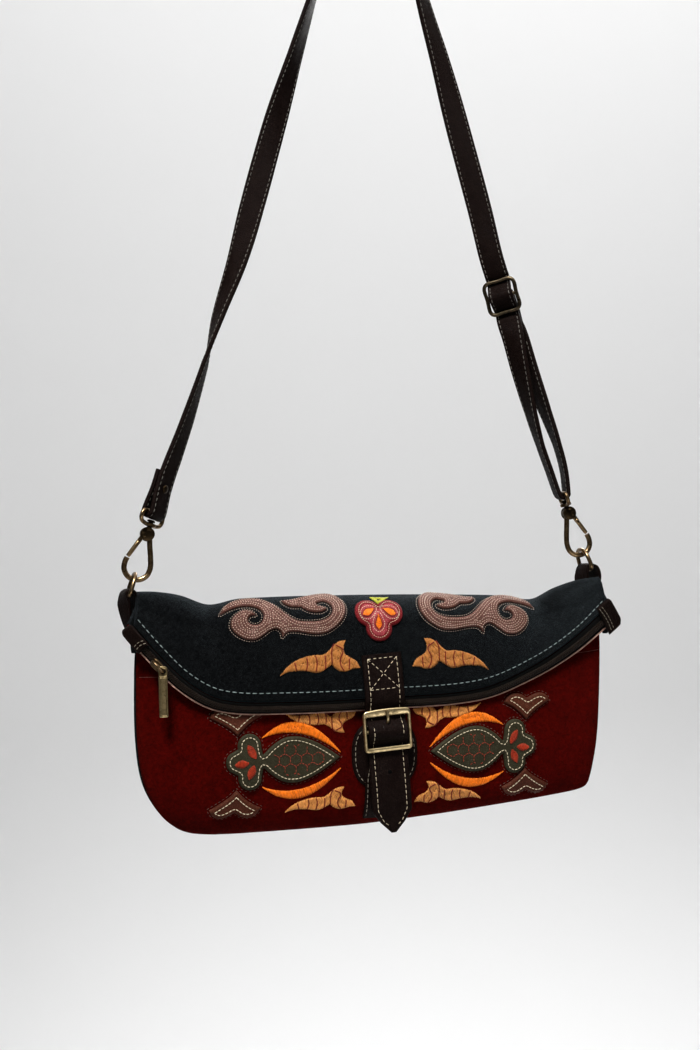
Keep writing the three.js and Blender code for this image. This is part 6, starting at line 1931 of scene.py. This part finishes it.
def strap_lines(per_span=8):
    """The strap's middle line, its ways across and out, and its thickness, at close stations."""
    middles, across, thickness = (np.array(column, float) for column in zip(*strap_stations()))
    line = smooth_line(middles, per_span)
    at = np.arange(len(line)) / per_span
    stops = np.arange(len(middles))
    across = unit(np.stack([np.interp(at, stops, across[:, k]) for k in range(3)], 1))
    run = unit(np.gradient(line, axis=0))
    facing = np.cross(run, across)
    return line, unit(np.cross(facing, run)), unit(facing), np.interp(at, stops, thickness)


strap_line, strap_across, strap_out, strap_thick = strap_lines()
strap_along = length_along(strap_line)


def read_along(values, along):
    return np.stack([np.interp(along, strap_along, values[:, k]) for k in range(3)], -1)


def on_strap(face):
    """A place on one face of the strap by distance across and along."""

    def place(x, along, lift):
        half = np.interp(along, strap_along, strap_thick) / 2
        across, out = read_along(strap_across, along), read_along(strap_out, along)
        flat = read_along(strap_line, along) + across * x[..., None]
        return flat + out * (face * (half + lift))[..., None]

    return place


full_section = strap_section(STRAP["width"], STRAP["thickness"], 0.1, 0.12, STRAP_STITCH_IN)
strap_shape = swept(strap_line, full_section, strap_out, 1.0, strap_thick / STRAP["thickness"])
piece("strap_leather", strap_shape, dark_leather, ["strap"], sharp=60)
strap_rows = []
for face in (-1, 1):
    for side in (-1, 1):
        edge = side * (STRAP["width"] / 2 - STRAP_STITCH_IN)
        reach = spaced(STITCHED["from"], strap_along[-1] - STITCHED["short_of"], STITCHED["points"])
        path = np.stack([np.full(STITCHED["points"], edge), reach], 1)
        strap_rows.append(stitch_run(path, on_strap(face), STRAP_STITCH, -0.1))
piece("strap_stitches", joined(*strap_rows), thread("strap_thread", STRAP_THREAD))


def strap_rivet():
    reach = STRAP["thickness"] + 2 * FIT
    radius = STRAP_END["rivet_head"] / 2
    profile = [
        (-reach - 0.9, 0.5), (-reach - 0.75, radius * 0.6), (-reach - 0.4, radius * 0.92), (-reach, radius),
        (-reach + 0.05, 1.2)
    ]
    profile += [(-h, r) for h, r in profile[::-1]]
    rivet = turned((0, 0, EYE["bar_up"] + STRAP_END["rivet_up"]), (0, 1, 0), profile)
    return placed(rivet, eye_place(HOOK_SIDES["left"]))


def strap_slide():
    w, h = SLIDE["half_width"], SLIDE["half_height"]
    outline = [
        (-w, 2 - h), (2 - w, -h), (0, -h), (w - 2, -h), (w, 2 - h), (w, 0), (w, h - 2), (w - 2, h), (0, h),
        (2 - w, h), (-w, h - 2), (-w, 0)
    ]
    out = slide_axes()[2]
    rim = bar([at_slide(a, b, 0) for a, b in outline], SLIDE["wire"], out, 6, 14, True)
    return joined(rim, bar([at_slide(a, 0, 0) for a in (-w, 0, w)], SLIDE["wire"], out, 2))


slide_brass = brass_look("slide_brass", SLIDE_BRIGHT, SLIDE_DULL, BRASS_DARK, gloss=0.3)
piece("strap_rivet_turned", strap_rivet(), head_brass, ["strap_rivet"], sharp=50)
piece("strap_slide_wire", strap_slide(), slide_brass, ["strap_slide"])

# The photographer's setting: a pale seamless sweep behind and below, lit mostly from overhead, with a
# narrow key light from the upper left and weak light from below and behind. The camera stands a little to
# the left of the bag at the height of its fold.
FLOOR_Z = -1.3
SWEEP = {"front": -1.6, "bend": 1.0, "radius": 0.6, "top": 2.2, "half_width": 3.2}
PAPER = (0.87, 0.87, 0.87)
LIGHTS = (
    ("overhead", (0.75, 0.3, 1.5), (0.75, 1.5, -0.4), 3.0, 180, 58.0),
    ("key", (-0.55, -1.1, 1.1), (0.0, 0.0, -0.55), 0.5, 45, 4.1),
    ("bounce", (0.15, -0.9, -1.15), (0.0, 0.0, -0.56), 0.8, 60, 0.7),
    ("back", (0.6, 0.95, 0.3), (0.0, 0.0, -0.5), 0.6, 70, 1.6),
)
AMBIENT = 0.03
CAMERA = {
    "x": -225.0, "y": -854.6, "z": 20.8, "yaw": -0.2428, "pitch": 0.0245, "roll": 0.0284, "focal_px": 1458,
    "image_long": 1050, "sensor": 36
}


def sweep():
    bend = np.radians(spaced(-90, 0, 16))
    profile = [(SWEEP["front"], FLOOR_Z)]
    profile += [
        (SWEEP["bend"] + SWEEP["radius"] * math.cos(t), FLOOR_Z + SWEEP["radius"] * (1 + math.sin(t)))
        for t in bend
    ]
    profile += [(SWEEP["bend"] + SWEEP["radius"], SWEEP["top"])]
    points = [(x, y, z) for y, z in profile for x in (-SWEEP["half_width"], SWEEP["half_width"])]
    faces = [(2 * i, 2 * i + 1, 2 * i + 3, 2 * i + 2) for i in range(len(profile) - 1)]
    mesh = bpy.data.meshes.new("paper_sweep")
    mesh.from_pydata(points, [], faces)
    mesh.shade_smooth()
    paper = bpy.data.materials.new("paper")
    paper.use_nodes = True
    shader = paper.node_tree.nodes["Principled BSDF"]
    shader.inputs["Base Color"].default_value = (*PAPER, 1)
    shader.inputs["Roughness"].default_value = 0.9
    mesh.materials.append(paper)
    return bpy.data.objects.new("paper_sweep", mesh)


scene = bpy.context.scene
stage = [sweep()]
for label, at, aim, size, spread_angle, power in LIGHTS:
    lamp = bpy.data.lights.new(label, "AREA")
    lamp.size = size
    lamp.spread = math.radians(spread_angle)
    lamp.energy = power
    light = bpy.data.objects.new(label, lamp)
    light.location = at
    light.rotation_euler = (Vector(aim) - Vector(at)).to_track_quat("-Z", "Y").to_euler()
    stage.append(light)
for item in stage:
    scene.collection.objects.link(item)
scene.world = bpy.data.worlds.new("studio")
scene.world.use_nodes = True
scene.world.node_tree.nodes["Background"].inputs["Color"].default_value = (1, 1, 1, 1)
scene.world.node_tree.nodes["Background"].inputs["Strength"].default_value = AMBIENT
scene.view_settings.view_transform = "Standard"
scene.view_settings.look = "Medium High Contrast"

lens = bpy.data.cameras.new("camera")
lens.sensor_width = CAMERA["sensor"]
lens.lens = CAMERA["focal_px"] / CAMERA["image_long"] * CAMERA["sensor"]
camera = bpy.data.objects.new("camera", lens)
scene.collection.objects.link(camera)
scene.camera = camera
yaw = Matrix.Rotation(CAMERA["yaw"], 4, "Z")
pitch = Matrix.Rotation(CAMERA["pitch"], 4, "X")
roll = Matrix.Rotation(CAMERA["roll"], 4, "Y")
turn = yaw @ pitch @ roll
at = (np.array([CAMERA["x"], CAMERA["y"], CAMERA["z"]]) - HANG_POINT) * MM
camera.matrix_world = Matrix.Translation(at) @ turn @ Matrix.Rotation(math.pi / 2, 4, "X")
